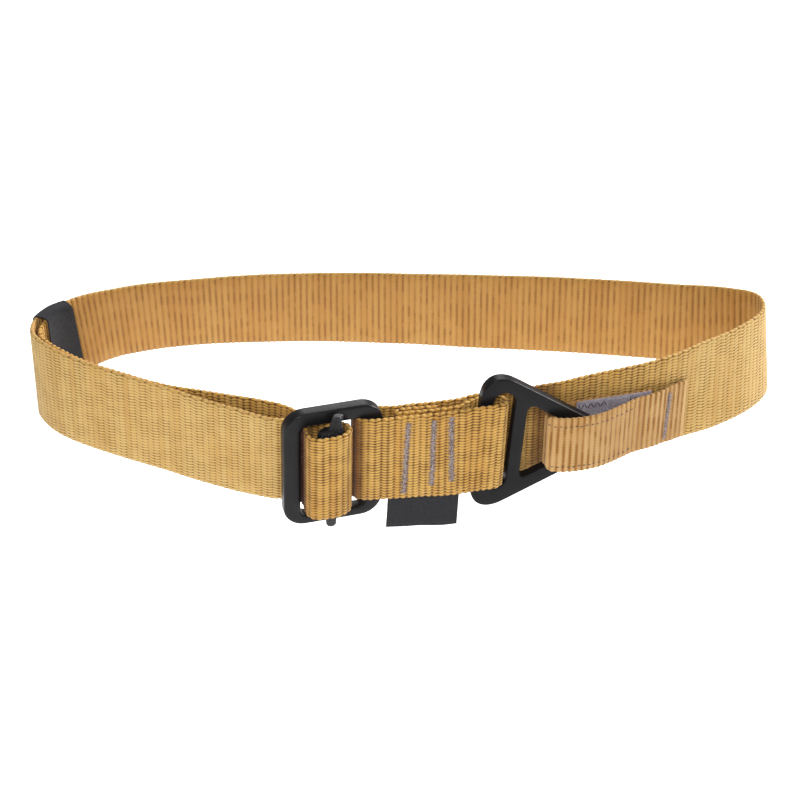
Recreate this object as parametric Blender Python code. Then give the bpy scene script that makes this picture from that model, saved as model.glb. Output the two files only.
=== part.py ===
"""Rappel belt: a 45 mm webbing strap with a friction buckle, a V ring and its retainer tab.

The belt is modelled as it is worn: a closed loop round the waist, +Z up, the buckle at the front (-Y).
The origin is the middle of the waist opening, at half the height of the webbing.
Lengths in the tables are millimetres; the meshes are in metres.
"""

import math

import bmesh
import bpy
from mathutils import Matrix, Vector

MM = 0.001
SEAT = 0.3                     # air between two pieces that touch on the real belt
BEND_AIR = 0.15                # more air in bends, for the straight stretches between stations

WEBBING_WIDTH = 45.0
WEBBING_THICK = 2.3
SELVEDGE = 0.55                # chamfer along both long edges of the webbing

FRAME_WIDTH = 45.5
FRAME_HEIGHT = 63.0
FRAME_THICK = 6.0
FRAME_BAR = 7.7                # width of the left and right bars
FRAME_RAIL = 7.0               # height of the top and bottom rails
FRAME_CORNER = 10.0
FRAME_HOLE_CORNER = 3.0
FRAME_CHAMFER = 1.3
FRAME_AT = (-30.2, -66.9)      # origin of the buckle's own axes, seen from above
FRAME_MIDDLE = (-1.9, -0.6)    # middle of the frame on those axes
FRAME_YAW = 16.0               # turn about the vertical, right side further back
FRAME_LEAN = 4.3               # the top of the frame leans out by this angle

SLIDE_AT = (-4.4, 7.75)        # middle of the slide bar: along the frame, in front of its middle plane

RING_LEFT = (32.1, -52.6)      # left edge of the V ring at half height, in its middle plane
RING_YAW = 11.5
RING_TURN = 5.0                # the tip hangs down by this angle
RING_HALF_SIDE = 41.3          # half of the left side, to the sharp corners
RING_SLOPE = 30.0              # the two legs of the V fall towards the tip at this angle
RING_THICK = 5.6
RING_CORNER = 10.5
RING_TIP = 11.0                # radius of the tip
RING_BAR = 6.0                 # width of the left and middle bars
RING_LEG = 6.5                 # width of the two legs
RING_SLOT = (10.1, 49.0)       # width and height of the slot for the webbing
RING_CHAMFER = 1.3
RING_SLOT_CORNER = 3.0
RING_EYE_CORNERS = (3.0, 3.5, 3.0)
RING_RISE = 0.4                # middle of the ring above the middle of the webbing

CUT_BEYOND = 1.0               # a cutter reaches this far past both faces of a plate

TAB_WIDTH = 30.0
TAB_SQUEEZED = 26.8             # its width where it passes the eye of the V ring
TAB_THICK = 1.5
PAD_WIDTH = 25.0
PAD_THICK = 0.9

KEEPER_WALL = 1.1
# Opening of the keeper, on the strap's own axes: towards the inside, outside, below, above.
KEEPER_OPENING = (-5.9, 1.7, -24.9, 23.1)
KEEPER_CORNER = 1.4
KEEPER_SPAN = (15.0, 33.0)     # from front to back, on the left bend

LABEL_SPAN = (-6.8, 26.0)      # by x
LABEL_THICK = 0.5
LABEL_DROP = 19.2              # hangs this far below the webbing
LABEL_TUCK = 8.0               # sewn in between two layers for this height

# Spacing of the layers in the sewn front stack, from the front layer back.
STACK_FIRST = 3.6              # leaves room for the label
STACK_NEXT = 2.85
STACK_LAST = 3.05

# Lean of the webbing round the waist. bearing: angle of the place in a plan squashed to a circle;
# out_x, out_y: how far the top edge lies from a plumb line through the bottom edge.
PLAN_SQUASH = 2.7
LEANS = [
    # name          bearing  out_x  out_y
    ("back_middle",    90.0,   0.0,  -8.6),
    ("back_left_a",   110.0,   1.0, -10.4),
    ("back_left_b",   124.0,   0.6, -12.2),
    ("back_left_c",   135.0,  -0.6, -11.6),
    ("back_left_d",   147.0,  -2.6,  -8.4),
    ("left_keeper",   157.0,  -2.4,  -4.0),
    ("left_bend",     173.0,  -0.2,   0.2),
    ("left_front_a",  191.0,   0.2,   2.2),
    ("left_front_b",  206.0,   0.6,   1.2),
    ("left_front_c",  229.0,   0.6,   0.0),
    ("left_front_d",  243.0,   0.6,  -0.9),
    ("buckle_left",   251.0,   0.9,  -3.3),
    ("buckle_right",  266.0,   0.9,  -3.3),
    ("tacks",         272.0,   0.6,  -2.2),
    ("label_right",   278.0,   0.2,  -0.8),
    ("ring_left",     284.0,   2.2,   0.0),
    ("ring_tip",      303.0,   0.2,  -0.6),
    ("tab_middle",    328.0,   0.8,   0.8),
    ("tab_end",       343.0,   1.2,   4.2),
    ("right_front",   358.0,   0.0,   8.0),
    ("right_bend_a",  374.0,  -1.0,   8.6),
    ("right_bend_b",  386.0,  -4.4,   4.6),
    ("right_bend_c",  396.0,  -3.6,   0.0),
    ("right_back",    406.0,  -1.6,  -4.4),
    ("back_right_a",  424.0,  -0.8,  -5.4),
    ("back_right_b",  436.0,  -0.4,  -6.4),
    ("back_again",    450.0,   0.0,  -8.6),
]


def lean_at(x, y):
    """Shift of the top edge of the webbing over its bottom edge at a place in plan."""
    bearing = math.degrees(math.atan2(y * PLAN_SQUASH, x)) % 360.0
    if bearing < LEANS[0][1]:
        bearing += 360.0
    for low, high in zip(LEANS, LEANS[1:]):
        if bearing <= high[1]:
            part = (bearing - low[1]) / (high[1] - low[1])
            part = part * part * (3.0 - 2.0 * part)
            return tuple(low[i] + (high[i] - low[i]) * part for i in (2, 3))
    return LEANS[-1][2:]


def across(yaw):
    """Unit vectors in plan along a piece turned by yaw, and out of its front."""
    angle = math.radians(yaw)
    return Vector((math.cos(angle), math.sin(angle))), Vector((math.sin(angle), -math.cos(angle)))


def buckle_plan(along, out):
    """Place in plan, at half height, of a point given along the frame and in front of it."""
    e, n = across(FRAME_YAW)
    return Vector(FRAME_AT) + e * along + n * out


def ring_plan(along, out):
    """Place in plan of a point given from the left edge of the V ring and in front of it."""
    e, n = across(RING_YAW)
    return Vector(RING_LEFT) + e * along + n * out


def shifted(rows, distance):
    """Rows moved sideways in plan, to the left of their direction of travel."""
    moved = []
    for i, (x, y, rise) in enumerate(rows):
        before = Vector(rows[max(i - 1, 0)][:2])
        after = Vector(rows[min(i + 1, len(rows) - 1)][:2])
        run = (after - before).normalized()
        moved.append((x - run.y * distance, y + run.x * distance, rise))
    return moved


def smooth(rows, step=0.5):
    """Centripetal Catmull-Rom curve through the rows, as points about step apart."""
    points = [Vector(row) for row in rows]
    points = [points[0] * 2 - points[1]] + points + [points[-1] * 2 - points[-2]]
    curve = []
    for p0, p1, p2, p3 in zip(points, points[1:], points[2:], points[3:]):
        t0 = 0.0
        t1 = t0 + (p1 - p0).length ** 0.5
        t2 = t1 + (p2 - p1).length ** 0.5
        t3 = t2 + (p3 - p2).length ** 0.5
        count = max(2, math.ceil((p2 - p1).length / step))
        for k in range(count):
            t = t1 + (t2 - t1) * k / count
            a1 = p0 * ((t1 - t) / (t1 - t0)) + p1 * ((t - t0) / (t1 - t0))
            a2 = p1 * ((t2 - t) / (t2 - t1)) + p2 * ((t - t1) / (t2 - t1))
            a3 = p2 * ((t3 - t) / (t3 - t2)) + p3 * ((t - t2) / (t3 - t2))
            b1 = a1 * ((t2 - t) / (t2 - t0)) + a2 * ((t - t0) / (t2 - t0))
            b2 = a2 * ((t3 - t) / (t3 - t1)) + a3 * ((t - t1) / (t3 - t1))
            curve.append(b1 * ((t2 - t) / (t2 - t1)) + b2 * ((t - t1) / (t2 - t1)))
    curve.append(points[-2])
    return curve


def thinned(curve, turn=9.0, longest=8.0):
    """The curve's points, kept where it has turned by some degrees or run some millimetres."""
    kept = [0]
    for i in range(1, len(curve) - 1):
        run = (curve[i] - curve[kept[-1]]).length
        here = (curve[i + 1] - curve[i]).xy
        there = (curve[kept[-1] + 1] - curve[kept[-1]]).xy
        if run >= longest or (run > 0.6 and math.degrees(here.angle(there)) >= turn):
            kept.append(i)
    kept.append(len(curve) - 1)
    return kept


def stations(rows, lean=lean_at, **how):
    """Centre, up and outward vectors along the rows; up leans as the webbing does there."""
    curve = smooth(rows)
    frames = []
    for i in thinned(curve, **how):
        run = curve[min(i + 1, len(curve) - 1)] - curve[max(i - 1, 0)]
        shift = lean(curve[i].x, curve[i].y)
        up = Vector((shift[0], shift[1], WEBBING_WIDTH)).normalized()
        out = run.cross(up).normalized()
        frames.append((Vector((curve[i].x, curve[i].y, 0.0)) + up * curve[i].z, up, out))
    return frames


def material(name, colour, roughness, metallic=0.0):
    made = bpy.data.materials.new(name)
    made.use_nodes = True
    shader = made.node_tree.nodes["Principled BSDF"]
    shader.inputs["Base Color"].default_value = (*colour, 1.0)
    shader.inputs["Roughness"].default_value = roughness
    shader.inputs["Metallic"].default_value = metallic
    made.diffuse_color = (*colour, 1.0)
    return made


def add_object(name, mesh_data, surface, sharp=35.0):
    """Object from a bmesh in millimetres."""
    bmesh.ops.recalc_face_normals(mesh_data, faces=mesh_data.faces)
    bmesh.ops.scale(mesh_data, vec=(MM, MM, MM), verts=mesh_data.verts)
    mesh = bpy.data.meshes.new(name)
    mesh_data.to_mesh(mesh)
    mesh_data.free()
    mesh.materials.append(surface)
    mesh.shade_smooth()
    mesh.set_sharp_from_angle(angle=math.radians(sharp))
    thing = bpy.data.objects.new(name, mesh)
    bpy.context.collection.objects.link(thing)
    return thing


def skin(mesh_data, loops, closed=False):
    """Faces between loops of vertices that all have the same count."""
    pairs = list(zip(loops, loops[1:]))
    if closed:
        pairs.append((loops[-1], loops[0]))
    for first, second in pairs:
        for i in range(len(first)):
            j = (i + 1) % len(first)
            mesh_data.faces.new((first[i], first[j], second[j], second[i]))


def strip(name, frames, width, thick, surface, middle=0.0, edge=SELVEDGE):
    """Flat strap swept along the frames, its long edges chamfered; middle is its height on the frames.

    The width is a number, or a function of the place in plan.
    """
    side = thick / 2
    edge = min(edge, side * 0.7)
    made = bmesh.new()
    loops = []
    for at, up, out in frames:
        half = (width(at.x, at.y) if callable(width) else width) / 2
        outline = [
            (-half, -side + edge), (-half + edge, -side), (half - edge, -side), (half, -side + edge),
            (half, side - edge), (half - edge, side), (-half + edge, side), (-half, side - edge),
        ]
        loops.append([made.verts.new(at + up * (middle + u) + out * n) for u, n in outline])
    skin(made, loops)
    made.faces.new(reversed(loops[0]))
    made.faces.new(loops[-1])
    return add_object(name, made, surface)


def plate_matrix(at, yaw, lean, rise=0.0):
    """Local X along the plate, local Y up it and local Z out of its front."""
    turn = Matrix.Rotation(math.radians(yaw), 4, "Z") @ Matrix.Rotation(math.radians(90.0 + lean), 4, "X")
    return Matrix.Translation((at[0], at[1], rise)) @ turn


def filleted(corners, radii, arc=6):
    """Outline of a convex polygon, corners anticlockwise, with its corners rounded."""
    points = []
    count = len(corners)
    for i in range(count):
        corner = Vector(corners[i])
        back = (Vector(corners[i - 1]) - corner).normalized()
        ahead = (Vector(corners[(i + 1) % count]) - corner).normalized()
        half = back.angle(ahead) / 2
        centre = corner + (back + ahead).normalized() * (radii[i] / math.sin(half))
        start = corner + back * (radii[i] / math.tan(half)) - centre
        turn = math.pi - 2 * half
        for k in range(arc + 1):
            a = turn * k / arc
            points.append(centre + Vector((
                start.x * math.cos(a) - start.y * math.sin(a),
                start.x * math.sin(a) + start.y * math.cos(a),
            )))
    return points


def grown(corners, distance):
    """Corners of the polygon with every side moved outwards."""
    count = len(corners)
    moved = []
    for i in range(count):
        corner = Vector(corners[i])
        back = (corner - Vector(corners[i - 1])).normalized()
        ahead = (Vector(corners[(i + 1) % count]) - corner).normalized()
        normal_back = Vector((back.y, -back.x))
        normal_ahead = Vector((ahead.y, -ahead.x))
        middle = (normal_back + normal_ahead).normalized()
        moved.append(corner + middle * (distance / middle.dot(normal_back)))
    return moved


def slab(name, corners, radii, levels, place, surface):
    """Prism between levels of height and growth over a rounded polygon."""
    made = bmesh.new()
    loops = []
    for height, growth in levels:
        outline = filleted(grown(corners, growth), [r + growth for r in radii])
        loops.append([made.verts.new(place @ Vector((p.x, p.y, height))) for p in outline])
    skin(made, loops)
    made.faces.new(reversed(loops[0]))
    made.faces.new(loops[-1])
    return add_object(name, made, surface)


def plate_levels(thick, chamfer):
    half = thick / 2
    return [(-half, -chamfer), (-half + chamfer, 0.0), (half - chamfer, 0.0), (half, -chamfer)]


def hole_levels(thick, chamfer):
    half = thick / 2
    return [(-half - CUT_BEYOND, chamfer + CUT_BEYOND), (-half + chamfer, 0.0),
            (half - chamfer, 0.0), (half + CUT_BEYOND, chamfer + CUT_BEYOND)]


def cut(thing, cutter):
    cutter.hide_render = True
    cutter.display_type = "WIRE"
    change = thing.modifiers.new(cutter.name, "BOOLEAN")
    change.operation = "DIFFERENCE"
    change.solver = "EXACT"
    change.object = cutter


# The strap, from its sewn end to its tail, in the order in which it runs.
# Columns: x, y at half height, rise of the middle line.
FRONT_LAYER = [
    # right to left
    (34.3, -57.5, 0.0),
    (26.0, -59.3, 0.0),
    (16.3, -61.5, 0.0),
    (7.0, -63.4, 0.0),
    (-1.2, -65.3, 0.0),
    (-9.6, -67.1, 0.0),
    (-16.8, -68.1, 0.0),
]
FOLD_UNDER_LEFT = 2            # the folded end lies behind the front layer from this row
FOLD_UNDER_RIGHT = 5           # to this one
FIRST_ENDS = (24.4, -55.2, 0.0)

RING_FOLD = [
    (27.9, -51.5, 0.0),
    (32.4, -48.1, 0.0),
    (38.2, -46.4, 0.0),
    (42.8, -47.5, 0.0),
    (45.2, -51.0, 0.0),
    (43.9, -54.8, 0.0),
    (39.6, -56.5, 0.0),
]
FRAME_FOLD = [
    (-21.2, -66.8, 0.0),
    (-22.7, -62.8, 0.0),
    (-20.9, -58.8, 0.0),
    (-16.0, -57.0, 0.0),
    (-10.0, -56.2, 0.0),
    (-5.0, -56.1, 0.0),
]
BEHIND_RING = [
    (24.4, -48.9, 0.0),
    (30.5, -45.3, 0.0),
    (38.5, -43.1, 0.0),
    (46.0, -42.2, 0.0),
    (54.0, -41.3, 0.0),
    (62.0, -38.9, 0.0),
]
RIGHT_FRONT = [
    (71.0, -36.9, 0.0),
    (80.0, -33.4, 0.0),
    (89.2, -30.1, 0.0),
    (98.6, -26.9, 0.0),
    (111.0, -22.3, 0.0),
    (122.8, -17.0, 0.0),
    (134.5, -9.2, 0.0),
    (147.0, -1.2, 0.0),
    (157.6, 7.2, 0.0),
]
RIGHT_BEND = [
    (167.0, 16.6, 0.0),
    (172.0, 24.2, 0.0),
    (173.4, 31.6, 0.0),
    (171.2, 38.2, 0.0),
    (166.6, 41.8, 0.0),
]
BACK = [
    (159.0, 43.7, 0.0),
    (146.0, 46.3, 0.0),
    (114.0, 51.3, 0.0),
    (76.0, 55.8, 0.0),
    (37.0, 58.7, 0.0),
    (-1.6, 61.3, 0.0),
    (-40.5, 62.6, 0.0),
    (-80.0, 60.8, 0.0),
    (-108.0, 57.1, 0.0),
    (-127.0, 53.0, 0.0),
    (-144.5, 46.2, 0.0),
]
LEFT_BEND = [
    (-156.2, 38.4, 0.0),
    (-164.6, 29.8, 0.0),
    (-170.4, 20.8, 0.0),
    (-173.3, 11.6, 0.0),
    (-172.6, 3.6, 0.0),
    (-168.0, -4.2, 0.0),
    (-160.2, -12.2, 0.0),
]
LEFT_FRONT = [
    (-149.3, -19.9, 0.0),
    (-130.0, -30.4, 0.0),
    (-110.5, -39.6, 0.0),
    (-91.5, -49.1, 0.0),
    (-73.0, -57.8, 0.0),
    (-60.0, -63.6, 0.0),
]
# Round the slide bar. Columns: along the frame, in front of its middle plane.
SLIDE_ROLL = [
    (-24.0, -8.0),
    (-19.0, -5.9),
    (-15.6, -3.6),
    (-14.5, 0.4),
    (-14.8, 4.8),
    (-14.5, 9.0),
    (-12.3, 12.0),
    (-8.6, 12.7),
    (-4.4, 12.8),
    (-0.3, 12.1),
    (3.3, 9.6),
    (4.5, 6.0),
    (3.0, 2.9),
    (-1.4, 1.6),
    (-7.0, -1.6),
    (-12.0, -7.4),
    (-16.6, -14.4),
]
TAIL_FREE = [
    (-55.0, -55.0, 0.0),
    (-64.1, -52.4, -0.3),
    (-77.0, -49.0, -0.7),
    (-91.3, -44.0, -1.2),
]
TAIL_GAP = 2.8                 # from the strap to the tail beside it, middle to middle
TAIL_BEND_GAP = 3.5            # the same in the open bend before the keeper
TAIL_DROP = -1.8               # the tail lies this much lower than the strap


def dropped(rows, rise):
    return [(x, y, rise) for x, y, _ in rows]


def turn_back(start, end, steps=4):
    """Half circle between the ends of two parallel layers, bulging away from the layer of end."""
    centre = (Vector(start[:2]) + Vector(end[:2])) / 2
    arm = Vector(start[:2]) - centre
    rows = []
    for k in range(1, steps):
        a = math.pi * k / steps
        rows.append((centre.x + arm.x * math.cos(a) - arm.y * math.sin(a),
                     centre.y + arm.x * math.sin(a) + arm.y * math.cos(a), 0.0))
    return rows


def stack_layer(distance, right=FOLD_UNDER_RIGHT):
    """Rows of a sewn layer behind the front layer, left to right."""
    rows = shifted(list(reversed(FRONT_LAYER)), distance)
    return rows[FOLD_UNDER_LEFT:right + 1]


def strap_rows():
    """The middle line of the whole strap at half height."""
    first = stack_layer(STACK_FIRST, FOLD_UNDER_RIGHT - 1) + [FIRST_ENDS]
    second = stack_layer(STACK_FIRST + STACK_NEXT, FOLD_UNDER_RIGHT - 1)
    third = stack_layer(STACK_FIRST + STACK_NEXT + STACK_LAST)
    roll = [(*buckle_plan(*row), 0.0) for row in SLIDE_ROLL]
    return (
        list(reversed(second)) + turn_back(second[0], first[0]) + first
        + RING_FOLD + FRONT_LAYER + FRAME_FOLD + third[1:-1]
        + BEHIND_RING + RIGHT_FRONT + RIGHT_BEND + BACK + LEFT_BEND + LEFT_FRONT
        + roll + TAIL_FREE + tail_rows()
    )


def tail_rows():
    """The tail beside the strap, from its free stretch to its end in the keeper."""
    bend = shifted(LEFT_BEND[1:] + LEFT_FRONT[:1], TAIL_BEND_GAP)[:-1]
    front = shifted(LEFT_FRONT[:4], TAIL_GAP)[:3]
    return dropped(reversed(bend + front), TAIL_DROP)


def beside_strap(rows, distance, keep, step=5.0):
    """Rows beside a stretch of the strap where keep is true of the place on the strap."""
    curve = [point for point in smooth(rows) if keep(point)]
    every = max(1, round(step / 0.5))
    picked = curve[::every]
    if curve[-1] not in picked:
        picked.append(curve[-1])
    return shifted([tuple(point) for point in picked], distance)


# The tab, from its hidden end at the strap, to the left, round the tip of the V ring and back.
TAB_ON_STRAP = WEBBING_THICK / 2 + SEAT + BEND_AIR + TAB_THICK / 2
LOOP_ON_STRAP = TAB_ON_STRAP + TAB_THICK / 2 + SEAT + BEND_AIR + PAD_THICK / 2
HOOK_ON_STRAP = LOOP_ON_STRAP + PAD_THICK + SEAT + BEND_AIR
TAB_BACK_SPAN = (78.0, 113.5)
LOOP_SPAN = (77.0, 112.5)
HOOK_SPAN = (91.0, 102.0)
TAB_LEVEL = [(64.0, -2.2), (130.0, -6.6)]     # height of the middle line of the tab, by x
# Round the tip of the V ring. Columns: along the ring, in front of its middle plane.
TAB_FOLD = [
    (39.0, -4.6),
    (35.0, -3.5),
    (32.7, 0.1),
    (33.6, 4.2),
    (36.6, 6.2),
    (41.0, 6.9),
    (49.2, 6.5),
    (57.0, 4.7),
    (62.6, 2.3),
]
# Where the tab comes back to the strap. Columns: x on the strap, distance in front of its middle.
TAB_RETURN = [
    (97.0, 10.1),
    (103.0, 7.6),
    (109.0, 6.4),
    (115.0, 5.4),
    (120.5, 3.5),
    (125.5, 2.55),
    (130.0, 2.55),
]
EYE_REACH = 50.0               # along the ring, past the eye
SQUEEZE = (3.4, 4.6)           # squeezed nearer to the ring's plane than this, and free beyond this


def tab_level(x):
    (x0, z0), (x1, z1) = TAB_LEVEL
    return z0 + (z1 - z0) * (x - x0) / (x1 - x0)


def tab_rows():
    strap = BEHIND_RING + RIGHT_FRONT + RIGHT_BEND
    back = beside_strap(strap, -TAB_ON_STRAP, lambda p: TAB_BACK_SPAN[0] <= p.x <= TAB_BACK_SPAN[1])
    fold = [(*ring_plan(*row), 0.0) for row in TAB_FOLD]
    curve = [tuple(point) for point in smooth(strap)]
    front = []
    for x, distance in TAB_RETURN:
        here = min(range(len(curve)), key=lambda i: abs(curve[i][0] - x))
        front.append(shifted(curve[here - 1:here + 2], -distance)[1])
    return [(x, y, tab_level(x)) for x, y, _ in list(reversed(back)) + fold + front]


def tab_width(x, y):
    """Width of the tab at a place in plan; the webbing is squeezed where it passes the eye."""
    e, n = across(RING_YAW)
    arm = Vector((x, y)) - Vector(RING_LEFT)
    if arm.dot(e) > EYE_REACH:
        return TAB_WIDTH
    near, free = SQUEEZE
    part = min(max((abs(arm.dot(n)) - near) / (free - near), 0.0), 1.0)
    return TAB_SQUEEZED + (TAB_WIDTH - TAB_SQUEEZED) * part


def pad_rows(distance, span):
    strap = BEHIND_RING + RIGHT_FRONT + RIGHT_BEND
    rows = beside_strap(strap, -distance, lambda p: span[0] <= p.x <= span[1])
    return [(x, y, tab_level(x)) for x, y, _ in rows]


# Columns: height, along the frame and out from the middle of the bar, half width, half thickness.
SLIDE_SECTIONS = [
    # foot
    (-31.2, 0.4, -0.6, 1.9, 1.3),
    (-30.4, 0.4, -0.6, 2.4, 1.8),
    (-24.2, 0.4, -0.6, 2.6, 2.0),
    (-23.3, 0.4, -0.4, 3.4, 2.5),
    # body
    (-23.0, 0.0, 0.0, 5.5, 2.8),
    (-22.2, 0.0, 0.0, 6.1, 3.3),
    (22.6, 0.0, 0.0, 6.1, 3.3),
    (24.4, 0.0, 0.0, 5.6, 2.8),
    # hooked lug
    (24.6, 2.1, -0.2, 3.5, 2.4),
    (27.0, 2.6, -0.6, 3.0, 2.2),
    (30.3, 2.9, -0.8, 2.6, 2.0),
    (31.2, 2.9, -0.8, 2.0, 1.5),
]
SLIDE_AROUND = 24
SLIDE_ROUNDNESS = 0.9          # 1 for an oval, less for a squarer outline


def keeper(name, surface):
    rows = beside_strap(LEFT_BEND, 0.0, lambda p: KEEPER_SPAN[0] <= p.y <= KEEPER_SPAN[1], 4.0)
    frames = stations(rows, turn=6.0, longest=5.0)
    inside, outside, below, above = KEEPER_OPENING
    corners = [(below, inside), (above, inside), (above, outside), (below, outside)]
    made = bmesh.new()
    inner, outer = [], []
    for growth, loops in ((0.0, inner), (KEEPER_WALL, outer)):
        outline = filleted(grown(corners, growth), [KEEPER_CORNER + growth] * 4, 4)
        for at, up, out in frames:
            loops.append([made.verts.new(at + up * p.x + out * p.y) for p in outline])
    skin(made, outer + list(reversed(inner)), closed=True)
    return add_object(name, made, surface)


def slide_bar(name, surface):
    place = plate_matrix(FRAME_AT, FRAME_YAW, FRAME_LEAN)
    made = bmesh.new()
    loops = []
    for height, along, out, wide, thick in SLIDE_SECTIONS:
        loop = []
        for k in range(SLIDE_AROUND):
            a = 2 * math.pi * k / SLIDE_AROUND
            x = math.copysign(abs(math.cos(a)) ** SLIDE_ROUNDNESS, math.cos(a)) * wide
            z = math.copysign(abs(math.sin(a)) ** SLIDE_ROUNDNESS, math.sin(a)) * thick
            point = Vector((SLIDE_AT[0] + along + x, height, SLIDE_AT[1] + out + z))
            loop.append(made.verts.new(place @ point))
        loops.append(loop)
    skin(made, loops)
    made.faces.new(reversed(loops[0]))
    made.faces.new(loops[-1])
    return add_object(name, made, surface)


def rectangle(width, height, x=0.0, y=0.0):
    w, h = width / 2, height / 2
    return [(x - w, y - h), (x + w, y - h), (x + w, y + h), (x - w, y + h)]


def buckle_frame(name, surface):
    place = plate_matrix(FRAME_AT, FRAME_YAW, FRAME_LEAN)
    body = slab(name, rectangle(FRAME_WIDTH, FRAME_HEIGHT, *FRAME_MIDDLE), [FRAME_CORNER] * 4,
                plate_levels(FRAME_THICK, FRAME_CHAMFER), place, surface)
    hole = rectangle(FRAME_WIDTH - 2 * FRAME_BAR, FRAME_HEIGHT - 2 * FRAME_RAIL, *FRAME_MIDDLE)
    cut(body, slab("frame_opening_cutter", hole, [FRAME_HOLE_CORNER] * 4,
                   hole_levels(FRAME_THICK, FRAME_CHAMFER), place, surface))
    return body


def v_ring(name, surface):
    turn = Matrix.Rotation(math.radians(-RING_TURN), 4, "Z")
    place = plate_matrix(RING_LEFT, RING_YAW, 0.0, RING_RISE) @ turn
    fall = math.tan(math.radians(RING_SLOPE))
    outline = [(0.0, -RING_HALF_SIDE), (RING_HALF_SIDE / fall, 0.0), (0.0, RING_HALF_SIDE)]
    body = slab(name, outline, [RING_CORNER, RING_TIP, RING_CORNER],
                plate_levels(RING_THICK, RING_CHAMFER), place, surface)
    slot_wide, slot_tall = RING_SLOT
    slot = rectangle(slot_wide, slot_tall, RING_BAR + slot_wide / 2)
    cut(body, slab("ring_slot_cutter", slot, [RING_SLOT_CORNER] * 4,
                   hole_levels(RING_THICK, RING_CHAMFER), place, surface))
    start = 2 * RING_BAR + slot_wide
    inner = RING_HALF_SIDE - RING_LEG / math.cos(math.radians(RING_SLOPE))
    corner = inner - start * fall
    eye = [(start, -corner), (inner / fall, 0.0), (start, corner)]
    cut(body, slab("ring_eye_cutter", eye, RING_EYE_CORNERS,
                   hole_levels(RING_THICK, RING_CHAMFER), place, surface))
    return body


def label(name, surface):
    rows = beside_strap(FRONT_LAYER, -STACK_FIRST / 2, lambda p: LABEL_SPAN[0] <= p.x <= LABEL_SPAN[1])
    frames = stations(rows)
    tall = LABEL_DROP + LABEL_TUCK
    middle = -WEBBING_WIDTH / 2 + LABEL_TUCK - tall / 2
    return strip(name, frames, tall, LABEL_THICK, surface, middle)


def build():
    for thing in list(bpy.data.objects):
        bpy.data.objects.remove(thing, do_unlink=True)
    strip("webbing", stations(strap_rows()), WEBBING_WIDTH, WEBBING_THICK,
          material("tan_webbing", (0.38, 0.22, 0.09), 0.85))
    buckle_frame("buckle_frame", material("black_frame_steel", (0.02, 0.02, 0.022), 0.45, 0.8))
    slide_bar("slide_bar", material("black_bar_steel", (0.018, 0.018, 0.02), 0.5, 0.8))
    v_ring("v_ring", material("black_ring_steel", (0.022, 0.022, 0.025), 0.42, 0.8))
    strip("ring_tab", stations(tab_rows()), tab_width, TAB_THICK,
          material("pale_tab_webbing", (0.55, 0.37, 0.19), 0.85))
    strip("loop_pad", stations(pad_rows(LOOP_ON_STRAP, LOOP_SPAN)), PAD_WIDTH, PAD_THICK,
          material("grey_loop_tape", (0.28, 0.26, 0.29), 0.95))
    strip("hook_pad", stations(pad_rows(HOOK_ON_STRAP, HOOK_SPAN)), PAD_WIDTH, PAD_THICK,
          material("grey_hook_tape", (0.24, 0.22, 0.25), 0.8))
    keeper("tail_keeper", material("black_elastic", (0.02, 0.02, 0.02), 0.9))
    label("label", material("black_label_tape", (0.02, 0.02, 0.025), 0.9))


build()
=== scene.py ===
# %% [markdown]
# A rappel belt is one long strap of thick webbing, a black buckle that grips it, and a black V ring
# that a carabiner clips into. This lesson dresses the solids of the belt, piece by piece, as cloth,
# metal and thread.
# The solids are loaded first. They hold every real size and place, so nothing here moves them.

# %% Load the solids
import math

import bmesh
import bpy
import numpy as np
from mathutils import Matrix, Vector


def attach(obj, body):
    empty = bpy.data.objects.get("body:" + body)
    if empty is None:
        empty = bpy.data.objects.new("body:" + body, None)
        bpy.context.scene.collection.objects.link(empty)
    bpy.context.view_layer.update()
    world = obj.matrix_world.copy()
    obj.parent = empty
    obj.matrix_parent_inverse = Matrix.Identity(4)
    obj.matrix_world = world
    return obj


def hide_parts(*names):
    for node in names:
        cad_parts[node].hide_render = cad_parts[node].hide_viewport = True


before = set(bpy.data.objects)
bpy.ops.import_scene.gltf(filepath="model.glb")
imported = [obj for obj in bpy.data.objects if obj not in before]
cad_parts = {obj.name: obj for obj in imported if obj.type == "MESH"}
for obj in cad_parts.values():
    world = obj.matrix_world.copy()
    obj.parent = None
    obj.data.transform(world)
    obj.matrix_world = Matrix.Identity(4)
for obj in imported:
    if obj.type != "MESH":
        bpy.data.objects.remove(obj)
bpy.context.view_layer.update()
MM = 0.001
print("solids:", sorted(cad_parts))

# %% [markdown]
# The photo was taken from the front and from 34 degrees above, with a long lens. The belt hangs free
# in white light, so the floor lies well below it, and three large soft lights and a white world leave
# only faint shadows. The standard view transform keeps the tan of the webbing as strong as it is.

# %% Camera, lights and floor
CAMERA_TARGET = Vector((-1.6, -15.0, -2.5)) * MM
CAMERA_DISTANCE = 1.1
CAMERA_ELEVATION = math.radians(34.0)
CAMERA_LENS = 106.4
LIGHTS = [
    # name, place, power and size
    ("right_light", (1.15, 0.8, 0.55), 28.0, 0.5),
    ("front_light", (-0.1, -1.07, 0.95), 12.8, 0.5),
    ("back_light", (0.1, 1.0, 0.9), 9.0, 0.8),
]
WHITE = (1.0, 1.0, 1.0, 1.0)
WORLD_STRENGTH = 0.37
FLOOR_HEIGHT = -0.16
FLOOR_SIZE = 16.0
PAPER = {
    "Base Color": (0.93, 0.93, 0.93, 1.0),
    "Roughness": 0.9,
    "Emission Color": WHITE,
    "Emission Strength": 0.6,
}


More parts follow.
